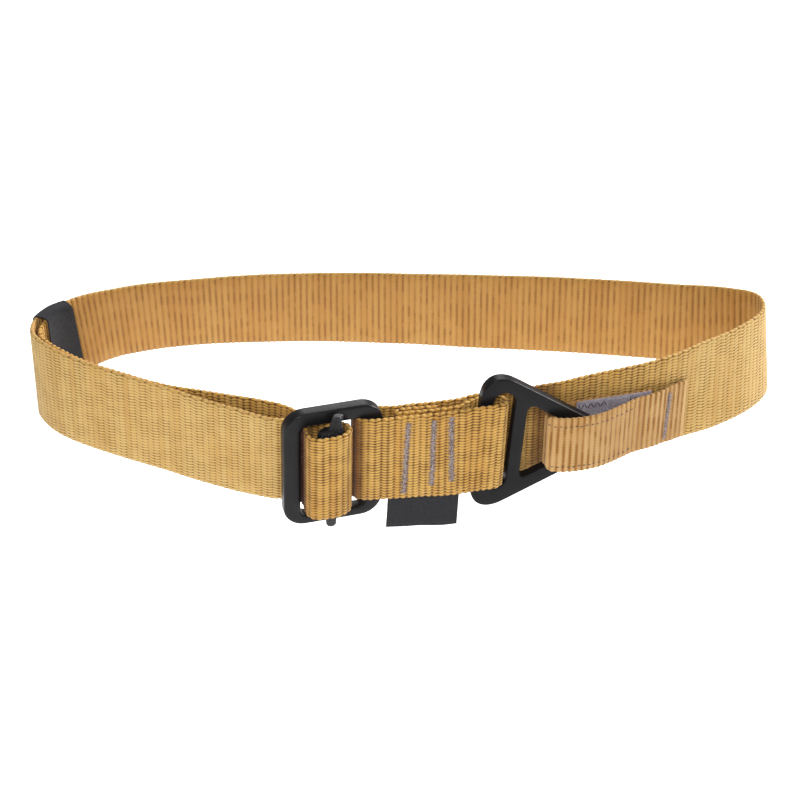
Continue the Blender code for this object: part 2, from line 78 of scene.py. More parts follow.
def aimed(name, data, place):
    """A camera or light at a place, turned to the middle of the belt."""
    thing = bpy.data.objects.new(name, data)
    thing.location = place
    thing.rotation_euler = (CAMERA_TARGET - Vector(place)).to_track_quat("-Z", "Y").to_euler()
    bpy.context.collection.objects.link(thing)
    return thing


def add_camera():
    data = bpy.data.cameras.new("camera")
    data.lens = CAMERA_LENS
    data.sensor_width = 36.0
    data.clip_start = 0.01
    away = Vector((0.0, -math.cos(CAMERA_ELEVATION), math.sin(CAMERA_ELEVATION))) * CAMERA_DISTANCE
    bpy.context.scene.camera = aimed("camera", data, CAMERA_TARGET + away)


def add_light(name, place, power, size):
    data = bpy.data.lights.new(name, "AREA")
    data.shape = "DISK"
    data.size = size
    data.energy = power
    aimed(name, data, place)


def set_inputs(node, values):
    for title, value in values.items():
        node.inputs[title].default_value = value


def add_world():
    world = bpy.data.worlds.new("white_room")
    world.use_nodes = True
    set_inputs(world.node_tree.nodes["Background"], {"Color": WHITE, "Strength": WORLD_STRENGTH})
    bpy.context.scene.world = world
    bpy.context.scene.view_settings.view_transform = "Standard"


def add_floor():
    bpy.ops.object.select_all(action="DESELECT")
    bpy.ops.mesh.primitive_plane_add(size=FLOOR_SIZE, location=(0.0, 0.0, FLOOR_HEIGHT))
    floor = bpy.context.object
    floor.name = "floor"
    paper = bpy.data.materials.new("pale_paper")
    paper.use_nodes = True
    set_inputs(paper.node_tree.nodes["Principled BSDF"], PAPER)
    floor.data.materials.append(paper)


add_camera()
for light in LIGHTS:
    add_light(*light)
add_world()
add_floor()
print("camera above the front by", round(math.degrees(CAMERA_ELEVATION)), "degrees")

# %% [markdown]
# Every colour and relief here is a pattern worked out by nodes. Their trees read better when a small
# helper adds and joins the nodes. It takes plain numbers and sockets alike.

# %% Helpers for node trees


class Tree:
    """Adds nodes to a material or to a node group."""

    def __init__(self, tree):
        self.tree = tree

    def node(self, kind, **settings):
        made = self.tree.nodes.new(kind)
        for name, value in settings.items():
            setattr(made, name, value)
        return made

    def put(self, value, socket):
        if isinstance(value, bpy.types.NodeSocket):
            self.tree.links.new(value, socket)
        else:
            socket.default_value = value

    def math(self, operation, *values, clamp=False):
        made = self.node("ShaderNodeMath", operation=operation, use_clamp=clamp)
        for value, socket in zip(values, made.inputs):
            self.put(value, socket)
        return made.outputs[0]

    def between(self, value, low, high, low_out=0.0, high_out=1.0):
        made = self.node("ShaderNodeMapRange", interpolation_type="SMOOTHSTEP")
        for place, number in enumerate((value, low, high, low_out, high_out)):
            self.put(number, made.inputs[place])
        return made.outputs[0]

    def mix(self, factor, first, second, blend="MIX"):
        made = self.node("ShaderNodeMix", data_type="RGBA", blend_type=blend)
        self.put(factor, made.inputs["Factor"])
        for colour, title in ((first, "A"), (second, "B")):
            plain = isinstance(colour, tuple)
            self.put((*colour, 1.0) if plain else colour, made.inputs[title])
        return made.outputs["Result"]

    def noise(self, place, scale, detail=2.0, roughness=0.5):
        made = self.node("ShaderNodeTexNoise")
        self.put(place, made.inputs["Vector"])
        set_inputs(made, {"Scale": scale, "Detail": detail, "Roughness": roughness})
        return made.outputs[0]

    def wave(self, value, spacing=1.0):
        """0 at each multiple of the spacing and 1 halfway between two of them."""
        turns = self.math("MULTIPLY", value, math.pi / spacing)
        return self.math("ABSOLUTE", self.math("SINE", turns))

    def attribute(self, name):
        return self.node("ShaderNodeAttribute", attribute_name=name).outputs["Fac"]

    def here(self):
        return self.node("ShaderNodeTexCoord").outputs["Object"]

    def strap_map(self):
        """Place along the strap and across it, in metres."""
        parts = self.node("ShaderNodeSeparateXYZ")
        self.put(self.node("ShaderNodeUVMap", uv_map="strap").outputs[0], parts.inputs[0])
        return parts.outputs["X"], parts.outputs["Y"]

    def bump(self, height, distance, strength=1.0):
        """A normal that rises by up to distance, in metres, where the height is 1."""
        made = self.node("ShaderNodeBump")
        set_inputs(made, {"Strength": strength, "Distance": distance})
        self.put(height, made.inputs["Height"])
        return made.outputs[0]


def new_group(name, inputs, outputs):
    """A shader node group with float inputs (name, default) and named outputs."""
    group = bpy.data.node_groups.new(name, "ShaderNodeTree")
    for title, default in inputs:
        socket = group.interface.new_socket(title, in_out="INPUT", socket_type="NodeSocketFloat")
        socket.default_value = default
    for title, kind in outputs:
        group.interface.new_socket(title, in_out="OUTPUT", socket_type=kind)
    tree = Tree(group)
    start = tree.node("NodeGroupInput")
    end = tree.node("NodeGroupOutput")
    return group, tree, start, end


def new_material(name, roughness, **sockets):
    made = bpy.data.materials.new(name)
    made.use_nodes = True
    shader = made.node_tree.nodes["Principled BSDF"]
    set_inputs(shader, {"Roughness": roughness})
    set_inputs(shader, {title.replace("_", " "): value for title, value in sockets.items()})
    return made, Tree(made.node_tree), shader


# %% [markdown]
# Heavy webbing is woven from thick yarns that run along it. On the face they form rows that zigzag
# from rib to rib, and between two ribs a dark dot shows where the yarns dive. One node group draws
# that weave for every strap here. It reads a UV map in which U runs along the strap and V across it,
# in metres, so the pattern follows every bend.

# %% The weave as a node group
RIB = 2.95  # from rib to rib along the strap, in millimetres
ROW = 1.62  # from row to row across it


def weave_group():
    """The weave, as a height, the gaps between its yarns and a tone that differs by rib."""
    group, tree, start, end = new_group(
        "zigzag_weave",
        [("Rib", RIB), ("Row", ROW), ("Slant", 0.42), ("Dots", 1.0), ("Lines", 0.5), ("Grooves", 0.3)],
        [("Height", "NodeSocketFloat"), ("Gap", "NodeSocketFloat"), ("Tone", "NodeSocketFloat")],
    )
    along, over = (tree.math("MULTIPLY", part, 1.0 / MM) for part in tree.strap_map())
    rib = tree.math("DIVIDE", along, start.outputs["Rib"])
    zigzag = tree.math("MULTIPLY", tree.math("PINGPONG", rib, 1.0), start.outputs["Slant"])
    row = tree.math("ADD", tree.math("DIVIDE", over, start.outputs["Row"]), zigzag)
    row_wave = tree.wave(row)
    rib_wave = tree.wave(rib)

    row_gap = tree.between(row_wave, 0.8, 0.0)
    dots = tree.math("MULTIPLY", tree.math("MULTIPLY", row_gap, tree.between(rib_wave, 0.6, 0.1)),
                     start.outputs["Dots"])
    lines = tree.math("MULTIPLY", row_gap, start.outputs["Lines"])
    grooves = tree.math("MULTIPLY", tree.between(rib_wave, 1.0, 0.0), start.outputs["Grooves"])
    gap = tree.math("ADD", tree.math("ADD", dots, lines), grooves, clamp=True)

    yarns = tree.node("ShaderNodeCombineXYZ")
    tree.put(tree.math("MULTIPLY", along, 0.9), yarns.inputs[0])
    tree.put(tree.math("MULTIPLY", row, 6.0), yarns.inputs[1])
    strands = tree.noise(yarns.outputs[0], 1.4, 2.0)
    relief = tree.math("SUBTRACT", 1.0, gap)
    column = tree.node("ShaderNodeTexWhiteNoise", noise_dimensions="1D")
    tree.put(tree.math("FLOOR", rib), column.inputs["W"])
    tree.put(tree.math("MULTIPLY_ADD", strands, 0.25, relief), end.inputs["Height"])
    tree.put(gap, end.inputs["Gap"])
    uneven = tree.math("MULTIPLY", strands, 0.4)
    tree.put(tree.math("MULTIPLY_ADD", column.outputs["Value"], 0.6, uneven), end.inputs["Tone"])
    return group


WEAVE = weave_group()
print("weave made, ribs", RIB, "mm apart")

# %% [markdown]
# Two webbings use the weave, the tan strap and the paler tab. Along the loop the face of the strap
# shows fine zigzag rows and its inner side bare ribs, and where it is sewn and wound its ribs stand
# out boldly, in colours that are also painted darker and more orange, as shade between the layers.
# Attributes on the strap say which of them a place shows, and where a face lies so far in between two
# layers that shade is painted on it, nearly dark.

# %% Webbing materials
# Painted shade: the colour is multiplied by this tint where a face lies far in between two layers.
PAINTED_SHADE_TINT = (0.16, 0.05, 0.02)  # what is left of the colour deep between two layers


def by_place(tree, outer, inner, bold):
    """A number that depends on the face of the strap, and on how boldly its ribs stand out."""
    side = tree.attribute("inner_side")
    boldness = tree.attribute("bold")
    plain = tree.math("MULTIPLY_ADD", side, inner - outer, outer)
    return tree.math("MULTIPLY_ADD", boldness, tree.math("SUBTRACT", bold, plain), plain)


def webbing_material(name, colours, dots, lines, grooves, relief):
    """Woven strap. Dots, lines and grooves are given for the outer face, the inner face and where the
    ribs are bold, and so are the colours, each as a light, a warm and a dark tone."""
    made, tree, shader = new_material(name, 0.8, Sheen_Weight=0.1, Sheen_Roughness=0.4,
                                      Specular_IOR_Level=0.2)
    weave = tree.node("ShaderNodeGroup", node_tree=WEAVE)
    place = tree.here()
    patches = tree.noise(place, 38.0, 3.0)
    uneven = tree.between(tree.noise(place, 130.0, 2.0), 0.38, 0.62, 0.6, 1.2)
    for title, values in (("Dots", dots), ("Lines", lines), ("Grooves", grooves)):
        tree.put(tree.math("MULTIPLY", by_place(tree, *values), uneven), weave.inputs[title])
    warmth = tree.math("ADD", tree.between(weave.outputs["Tone"], 0.3, 0.8, 0.0, 0.5),
                       tree.between(patches, 0.4, 0.7, 0.0, 0.4))
    faces = []
    for light, warm, dark in colours:
        face = tree.mix(warmth, light, warm)
        faces.append(tree.mix(weave.outputs["Gap"], face, dark))
    plain = tree.mix(by_place(tree, 0.0, 1.0, 0.0), faces[0], faces[1])
    # On the strap the colours where the ribs are bold also carry painted shade.
    woven = tree.mix(by_place(tree, 0.0, 0.0, 1.0), plain, faces[2])
    # Painted shade: where the attribute says so, the colour is darkened towards the tint.
    shaded = tree.mix(tree.attribute("painted_shade"), woven, PAINTED_SHADE_TINT, "MULTIPLY")
    tree.put(shaded, shader.inputs["Base Color"])
    tree.put(tree.between(weave.outputs["Height"], 0.2, 1.0, 0.9, 0.7), shader.inputs["Roughness"])
    tree.put(tree.bump(weave.outputs["Height"], relief * MM), shader.inputs["Normal"])
    return made


TAN = webbing_material(
    "tan_webbing",
    [((0.60, 0.40, 0.14), (0.54, 0.32, 0.09), (0.20, 0.095, 0.018)),
     ((0.45, 0.245, 0.066), (0.40, 0.195, 0.045), (0.20, 0.08, 0.014)),
     # where the ribs are bold: a bolder pattern, and painted shade that makes these colours darker and
     # more orange
     ((0.56, 0.33, 0.082), (0.47, 0.235, 0.042), (0.12, 0.045, 0.006))],
    dots=(1.0, 0.2, 1.0), lines=(0.55, 0.1, 0.75), grooves=(0.08, 0.5, 0.45), relief=0.5)
PALE_TAN = webbing_material(
    "pale_tab_webbing",
    [((0.49, 0.30, 0.12), (0.39, 0.205, 0.065), (0.25, 0.11, 0.024))] * 2
    + [((0.56, 0.36, 0.15), (0.50, 0.30, 0.11), (0.4, 0.22, 0.07))],
    dots=(0.15, 0.15, 0.0), lines=(0.16, 0.16, 0.0), grooves=(1.0, 1.0, 0.0), relief=0.35)
print("webbings:", TAN.name, "and", PALE_TAN.name)

# %% [markdown]
# The buckle, its bar and the V ring are steel with a satin black finish. Up close such a finish is
# not flat: it has a fine orange peel, and the edges that rub are a little greyer and smoother. The
# group below gives both, and each piece of metal sets its own strength and shine.

# %% Satin black metal
DEEP_BLACK = (0.006, 0.006, 0.007)
SOFT_BLACK = (0.012, 0.011, 0.012)
WORN_GREY = (0.06, 0.06, 0.066)


def rubbed_black_group():
    """Black with a fine grain, and greyer and smoother at the edges that rub."""
    group, tree, start, end = new_group(
        "rubbed_black",
        [("Grain", 1.0), ("Rub", 0.5)],
        [("Color", "NodeSocketColor"), ("Roughness", "NodeSocketFloat"), ("Height", "NodeSocketFloat")],
    )
    place = tree.here()
    fine = tree.noise(place, 1500.0, 3.0)
    soft = tree.noise(place, 90.0, 3.0)
    edge = tree.node("ShaderNodeNewGeometry").outputs["Pointiness"]
    worn = tree.math("MULTIPLY", tree.between(edge, 0.51, 0.58), start.outputs["Rub"])
    worn = tree.math("MULTIPLY", worn, tree.between(soft, 0.35, 0.65))
    tone = tree.mix(soft, DEEP_BLACK, SOFT_BLACK)
    tree.put(tree.mix(worn, tone, WORN_GREY), end.inputs["Color"])
    rough = tree.between(fine, 0.3, 0.7, 0.28, 0.42)
    tree.put(tree.math("MULTIPLY_ADD", worn, -0.12, rough), end.inputs["Roughness"])
    tree.put(tree.math("MULTIPLY", fine, start.outputs["Grain"]), end.inputs["Height"])
    return group


RUBBED_BLACK = rubbed_black_group()


def black_metal(name, grain, rub, shine):
    made, tree, shader = new_material(name, 0.42, Specular_IOR_Level=shine)
    finish = tree.node("ShaderNodeGroup", node_tree=RUBBED_BLACK)
    set_inputs(finish, {"Grain": grain, "Rub": rub})
    tree.put(finish.outputs["Color"], shader.inputs["Base Color"])
    tree.put(finish.outputs["Roughness"], shader.inputs["Roughness"])
    tree.put(tree.bump(finish.outputs["Height"], 0.05 * MM, 0.35), shader.inputs["Normal"])
    return made


FRAME_BLACK = black_metal("satin_black_buckle", 1.0, 0.5, 0.15)
BAR_BLACK = black_metal("satin_black_bar", 1.4, 0.8, 0.25)
RING_BLACK = black_metal("satin_black_ring", 0.8, 0.7, 0.1)
print("blacks:", [black.name for black in (FRAME_BLACK, BAR_BLACK, RING_BLACK)])

# %% [markdown]
# The real sizes come next, in millimetres. Belts like this use 45 mm webbing, and that width sets the
# scale of all the rest. Layers that touch on the real belt keep a little air here, so that each piece
# stays a body of its own.

# %% Sizes
WEBBING_WIDTH = 45.0
WEBBING_THICK = 2.3
STACK_FIRST = 3.6  # from the front layer to the first sewn layer, middle to middle
STACK_NEXT = 2.85  # from there to the second one
STACK_LAST = 3.05  # and from there to the last
SEAT = 0.3  # air between two layers that touch on the real belt
BEND_AIR = 0.15  # and this much more along a bend
FRAME_AT = (-30.2, -66.9)  # middle of the buckle frame in plan
FRAME_YAW = 16.0  # how far it turns from facing the front, in degrees
FRAME_LEAN = 4.3  # how far its top leans to the front
RING_LEFT = (32.1, -52.6)  # left edge of the V ring in plan
RING_YAW = 11.5
RING_TURN = 5.0  # how far its tip is turned down, in degrees
RING_RISE = 0.4
TAB_WIDTH = 30.0
TAB_SQUEEZED = 26.8  # its width inside the eye of the V ring
TAB_THICK = 1.5
PAD_WIDTH = 28.0
PAD_THICK = 0.9
LABEL_THICK = 0.5
LABEL_DROP = 19.2  # how far the label hangs below the strap
LABEL_TUCK = 8.0  # and how much of it is held between the layers
print("webbing", WEBBING_WIDTH, "by", WEBBING_THICK, "mm")

# %% [markdown]
# A strap that is bent to a loop doesn't stand upright all the way round. The table says how far its
# top edge leans out over its bottom edge, by bearing from the middle of the belt. The loop is long
# and narrow, so its plan is stretched first, which spreads the bearings evenly round it.

# %% Lean of the strap
PLAN_STRETCH = 2.7
LEANS = [
    # bearing, and lean along x and y
    # from the middle of the back to the left bend
    (90.0, 0.0, -8.6),
    (110.0, 1.0, -10.4),
    (124.0, 0.6, -12.2),
    (135.0, -0.6, -11.6),
    (147.0, -2.6, -8.4),
    (157.0, -2.4, -4.0),
    # the left bend and the front left
    (173.0, -0.2, 0.2),
    (191.0, 0.2, 2.2),
    (206.0, 0.6, 1.2),
    (229.0, 0.6, 0.0),
    (243.0, 0.6, -0.9),
    # buckle, tacks and ring
    (251.0, 0.9, -3.3),
    (266.0, 0.9, -3.3),
    (272.0, 0.6, -2.2),
    (278.0, 0.2, -0.8),
    (284.0, 2.2, 0.0),
    (303.0, 0.2, -0.6),
    (328.0, 0.8, 0.8),
    # front right and the right bend
    (343.0, 1.2, 4.2),
    (358.0, 0.0, 8.0),
    (374.0, -1.0, 8.6),
    (386.0, -4.4, 4.6),
    (396.0, -3.6, 0.0),
    # and along the back again
    (406.0, -1.6, -4.4),
    (424.0, -0.8, -5.4),
    (436.0, -0.4, -6.4),
    (450.0, 0.0, -8.6),
]


def lean_at(x, y):
    """Shift of the top edge of the webbing over its bottom edge at a place in plan."""
    bearing = math.degrees(math.atan2(y * PLAN_STRETCH, x)) % 360.0
    if bearing < LEANS[0][0]:
        bearing += 360.0
    for low, high in zip(LEANS, LEANS[1:]):
        if bearing <= high[0]:
            part = (bearing - low[0]) / (high[0] - low[0])
            part = part * part * (3.0 - 2.0 * part)
            return tuple(low[i] + (high[i] - low[i]) * part for i in (1, 2))
    return LEANS[-1][1:]


print("lean known at", len(LEANS), "bearings")

# %% [markdown]
# Two kinds of helpers turn tables into routes. Some give the place in plan of a point that is known
# from the buckle or the ring. The others lay a smooth curve through rows of (x, y, rise), or move
# such rows sideways to where the next layer lies.

# %% Helpers for places and curves
CURVE_STEP = 0.5


def across(yaw):
    """Unit vectors in plan along a piece turned by yaw, and out of its front."""
    angle = math.radians(yaw)
    return Vector((math.cos(angle), math.sin(angle))), Vector((math.sin(angle), -math.cos(angle)))


def buckle_plan(along, out):
    """Place in plan, at half height, of a point given along the frame and in front of it."""
    e, n = across(FRAME_YAW)
    return Vector(FRAME_AT) + e * along + n * out


def ring_plan(along, out):
    """Place in plan of a point given from the left edge of the V ring and in front of it."""
    e, n = across(RING_YAW)
    return Vector(RING_LEFT) + e * along + n * out


def shifted(rows, distance):
    """Rows moved sideways in plan, to the left of their direction of travel."""
    moved = []
    for i, (x, y, rise) in enumerate(rows):
        before = Vector(rows[max(i - 1, 0)][:2])
        after = Vector(rows[min(i + 1, len(rows) - 1)][:2])
        run = (after - before).normalized()
        moved.append((x - run.y * distance, y + run.x * distance, rise))
    return moved


def smooth(rows, step=CURVE_STEP):
    """Centripetal Catmull-Rom curve through the rows, as points about step apart."""
    points = [Vector(row) for row in rows]
    points = [points[0] * 2 - points[1]] + points + [points[-1] * 2 - points[-2]]
    curve = []
    for p0, p1, p2, p3 in zip(points, points[1:], points[2:], points[3:]):
        t0 = 0.0
        t1 = t0 + (p1 - p0).length ** 0.5
        t2 = t1 + (p2 - p1).length ** 0.5
        t3 = t2 + (p3 - p2).length ** 0.5
        count = max(2, math.ceil((p2 - p1).length / step))
        for k in range(count):
            t = t1 + (t2 - t1) * k / count
            a1 = p0 * ((t1 - t) / (t1 - t0)) + p1 * ((t - t0) / (t1 - t0))
            a2 = p1 * ((t2 - t) / (t2 - t1)) + p2 * ((t - t1) / (t2 - t1))
            a3 = p2 * ((t3 - t) / (t3 - t2)) + p3 * ((t - t2) / (t3 - t2))
            b1 = a1 * ((t2 - t) / (t2 - t0)) + a2 * ((t - t0) / (t2 - t0))
            b2 = a2 * ((t3 - t) / (t3 - t1)) + a3 * ((t - t1) / (t3 - t1))
            curve.append(b1 * ((t2 - t) / (t2 - t1)) + b2 * ((t - t1) / (t2 - t1)))
    curve.append(points[-2])
    return curve


# %% [markdown]
# The strap is followed as a thread of stations from its sewn end to its tail. The first two columns
# are places in plan, read from the photo and the same as those of the plain solid. The third says how
# far the strap rises or sags there, as it does in the photo, where the solid stays level. The part at
# the front comes first: the front layer, its folds round the ring and the buckle, and the way behind
# the ring.

# %% Stations of the front
FRONT_LAYER = [
    # right to left
    (34.3, -57.5, -0.5),
    (26.0, -59.3, -1.0),
    (16.3, -61.5, -0.8),
    (7.0, -63.4, -0.2),
    (-1.2, -65.3, 0.3),
    (-9.6, -67.1, 0.8),
    (-16.8, -68.1, 1.1),
]
FOLD_UNDER_LEFT = 2  # the folded end lies behind the front layer from this row
FOLD_UNDER_RIGHT = 5  # to this one
FIRST_ENDS = (24.4, -55.2, -1.2)

RING_FOLD = [
    (27.9, -51.5, -1.5),
    (32.4, -48.1, -1.8),
    (38.2, -46.4, -1.8),
    (42.8, -47.5, -1.4),
    (45.2, -51.0, -0.8),
    (43.9, -54.8, -0.4),
    (39.6, -56.5, -0.4),
]
FRAME_FOLD = [
    (-21.2, -66.8, 1.1),
    (-22.7, -62.8, 1.0),
    (-20.9, -58.8, 0.8),
    (-16.0, -57.0, 0.5),
    (-10.0, -56.2, 0.2),
    (-5.0, -56.1, 0.0),
]
BEHIND_RING = [
    (24.4, -48.9, -1.6),
    (30.5, -45.3, -2.0),
    (38.5, -43.1, -1.8),
    (46.0, -42.2, -1.3),
    (54.0, -41.3, -1.1),
    (62.0, -38.9, -0.9),
]

# %% [markdown]
# The plain loop goes on from the ring to the right, round the right bend, along the back, round the
# left bend and back to the buckle at the front.

# %% Stations of the loop
RIGHT_FRONT = [
    (71.0, -36.9, -0.6),
    (80.0, -33.4, -0.4),
    (89.2, -30.1, -0.3),
    (98.6, -26.9, -0.3),
    (111.0, -22.3, -0.3),
    (122.8, -17.0, -0.4),
    (134.5, -9.2, -0.7),
    (147.0, -1.2, -1.0),
    (157.6, 7.2, -1.3),
]
RIGHT_BEND = [
    (167.0, 16.6, -1.5),
    (172.0, 24.2, -1.4),
    (173.4, 31.6, -1.2),
    (171.2, 38.2, -1.0),
    (166.6, 41.8, -0.7),
]
BACK = [
    (159.0, 43.7, -0.4),
    (146.0, 46.3, 0.0),
    (114.0, 51.3, 0.0),
    (76.0, 55.8, 0.0),
    (37.0, 58.7, 0.0),
    (-1.6, 61.3, 0.0),
    (-40.5, 62.6, 0.0),
    (-80.0, 60.8, 0.0),
    (-108.0, 57.1, 0.0),
    (-127.0, 53.0, 0.0),
    (-144.5, 46.2, 0.0),
]
LEFT_BEND = [
    (-156.2, 38.4, 0.0),
    (-164.6, 29.8, 0.0),
    (-170.4, 20.8, 0.0),
    (-173.3, 11.6, 0.0),
    (-172.6, 3.6, 0.0),
    (-168.0, -4.2, 0.0),
    (-160.2, -12.2, -0.1),
]
LEFT_FRONT = [
    (-149.3, -19.9, -0.2),
    (-130.0, -30.4, -0.4),
    (-110.5, -39.6, -0.9),
    (-91.5, -49.1, -1.4),
    (-73.0, -57.8, -1.4),
    (-60.0, -63.6, -1.1),
]

# %% [markdown]
# Behind the left bar of the buckle the strap winds round the slide bar, which is what holds it, and
# the tail that is left over goes back inside the loop to the keeper. The sewn layers need no rows of
# their own, because each of them follows the front layer at its distance.

# %% The slide bar, the tail and the whole strap
# Columns: along the frame, in front of its middle plane.
SLIDE_ROLL = [
    (-24.0, -8.0),
    (-19.0, -5.9),
    (-15.6, -3.6),
    (-14.5, 0.4),
    (-14.8, 4.8),
    (-14.5, 9.0),
    (-12.3, 12.0),
    (-8.6, 12.7),
    (-4.4, 12.8),
    (-0.3, 12.1),
    (3.3, 9.6),
    (4.5, 6.0),
    (3.0, 2.9),
    (-1.4, 1.6),
    (-7.0, -1.6),
    (-12.0, -7.4),
    (-16.6, -14.4),
]
TAIL_FREE = [
    (-55.0, -55.0, 0.4),
    (-64.1, -52.4, 0.4),
    (-77.0, -49.0, 0.3),
    (-91.3, -44.0, -0.6),
]
TAIL_GAP = 2.8  # from the strap to the tail beside it, middle to middle
TAIL_BEND_GAP = 3.5  # the same in the open bend before the keeper
TAIL_DROP = -1.9  # rise of the tail, which lies a little lower than the strap
TURN_STEPS = 4


def turn_back(start, end):
    """Half circle between the ends of two parallel layers, bulging away from the layer of end."""
    centre = (Vector(start[:2]) + Vector(end[:2])) / 2
    arm = Vector(start[:2]) - centre
    rows = []
    for k in range(1, TURN_STEPS):
        a = math.pi * k / TURN_STEPS
        rows.append((centre.x + arm.x * math.cos(a) - arm.y * math.sin(a),
                     centre.y + arm.x * math.sin(a) + arm.y * math.cos(a), 0.0))
    return rows


def stack_layer(distance, right=FOLD_UNDER_RIGHT):
    """Rows of a sewn layer behind the front layer, left to right."""
    rows = shifted(list(reversed(FRONT_LAYER)), distance)
    return rows[FOLD_UNDER_LEFT:right + 1]


def strap_rows():
    """Rows of the whole strap, from its sewn end to the end of the tail."""
    first = stack_layer(STACK_FIRST, FOLD_UNDER_RIGHT - 1) + [FIRST_ENDS]
    second = stack_layer(STACK_FIRST + STACK_NEXT, FOLD_UNDER_RIGHT - 1)
    third = stack_layer(STACK_FIRST + STACK_NEXT + STACK_LAST)
    roll = [(*buckle_plan(*row), 0.0) for row in SLIDE_ROLL]
    return (
        list(reversed(second)) + turn_back(second[0], first[0]) + first
        + RING_FOLD + FRONT_LAYER + FRAME_FOLD + third[1:-1]
        + BEHIND_RING + RIGHT_FRONT + RIGHT_BEND + BACK + LEFT_BEND + LEFT_FRONT
        + roll + TAIL_FREE + tail_rows()
    )


def tail_rows():
    """The tail beside the strap, from its free stretch to its end in the keeper."""
    bend = shifted(LEFT_BEND[1:] + LEFT_FRONT[:1], TAIL_BEND_GAP)[:-1]
    front = shifted(LEFT_FRONT[:4], TAIL_GAP)[:3]
    return [(x, y, TAIL_DROP) for x, y, _ in reversed(bend + front)]


print("stations of the strap:", len(strap_rows()))

# %% [markdown]
# A woven strap is modelled straight along its route, because a remesh or a cloth simulation would
# erase its edges. Cross-sections stand half a millimetre apart. Each is a flat oval whose faces rise
# and fall with the ribs, and whose ends reach further out at each rib, which cuts the edge in small
# scallops. The UV map is laid at the same time, U along and V across, in metres.

# %% Even steps along a route
FINE_STEP = 0.25


def even_route(rows, step):
    """Points one step apart along the smooth curve of the rows, with their distance along it."""
    curve = np.array([tuple(point) for point in smooth(rows, FINE_STEP)])
    walked = np.concatenate(([0.0], np.cumsum(np.linalg.norm(np.diff(curve, axis=0), axis=1))))
    even = np.arange(0.0, walked[-1], step)
    return even, np.stack([np.interp(even, walked, curve[:, k]) for k in range(3)], axis=1)


def frames_along(places):
    """Centre, up and outward vectors at each place, as arrays."""
    leans = np.array([lean_at(x, y) for x, y in places[:, :2]])
    up = np.column_stack((leans, np.full(len(places), WEBBING_WIDTH)))
    up /= np.linalg.norm(up, axis=1)[:, None]
    run = np.gradient(places, axis=0)
    out = np.cross(run, up)
    out /= np.linalg.norm(out, axis=1)[:, None]
    centre = np.column_stack((places[:, :2], np.zeros(len(places)))) + up * places[:, 2:3]
    return centre, up, out


def choose(piece):
    """Makes the piece the one that the next operators work on."""
    bpy.ops.object.select_all(action="DESELECT")
    piece.select_set(True)
    bpy.context.view_layer.objects.active = piece


def outward(piece):
    """Turns the faces of a closed piece outwards."""
    choose(piece)
    bpy.ops.object.mode_set(mode="EDIT")
    bpy.ops.mesh.select_all(action="SELECT")
    bpy.ops.mesh.normals_make_consistent(inside=False)
    bpy.ops.object.mode_set(mode="OBJECT")


def linked(name, mesh, surface):
    """A finished mesh as a smooth piece of the belt."""
    mesh.materials.append(surface)
    mesh.shade_smooth()
    piece = bpy.data.objects.new(name, mesh)
    bpy.context.collection.objects.link(piece)
    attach(piece, "root")
    return piece


print("whole strap, mm:", round(even_route(strap_rows(), CURVE_STEP)[0][-1], 1))

# %% [markdown]
# The ribbon tool makes every flat cloth of the belt. A piece sets its width and thickness, how far
# the valleys between its ribs sink on each side, and where the ribs are bold or where shade is painted
# on faces that lie between layers, which its material reads back as attributes.

# %% The ribbon tool
POINTS_ACROSS = 9
BOLD_EXTRA = 0.25  # how much deeper the valleys are where the ribs are bold
EDGE_PART = 0.42  # part of the thickness by which the edges are rounded
# One rounded edge: how far out, how far off the middle plane, and 0 for the outer to 1 for the
# inner side.
ROUND_EDGE = [(0.80, 0.62, 0.3), (1.0, 0.0, 0.5), (0.80, -0.62, 0.7)]


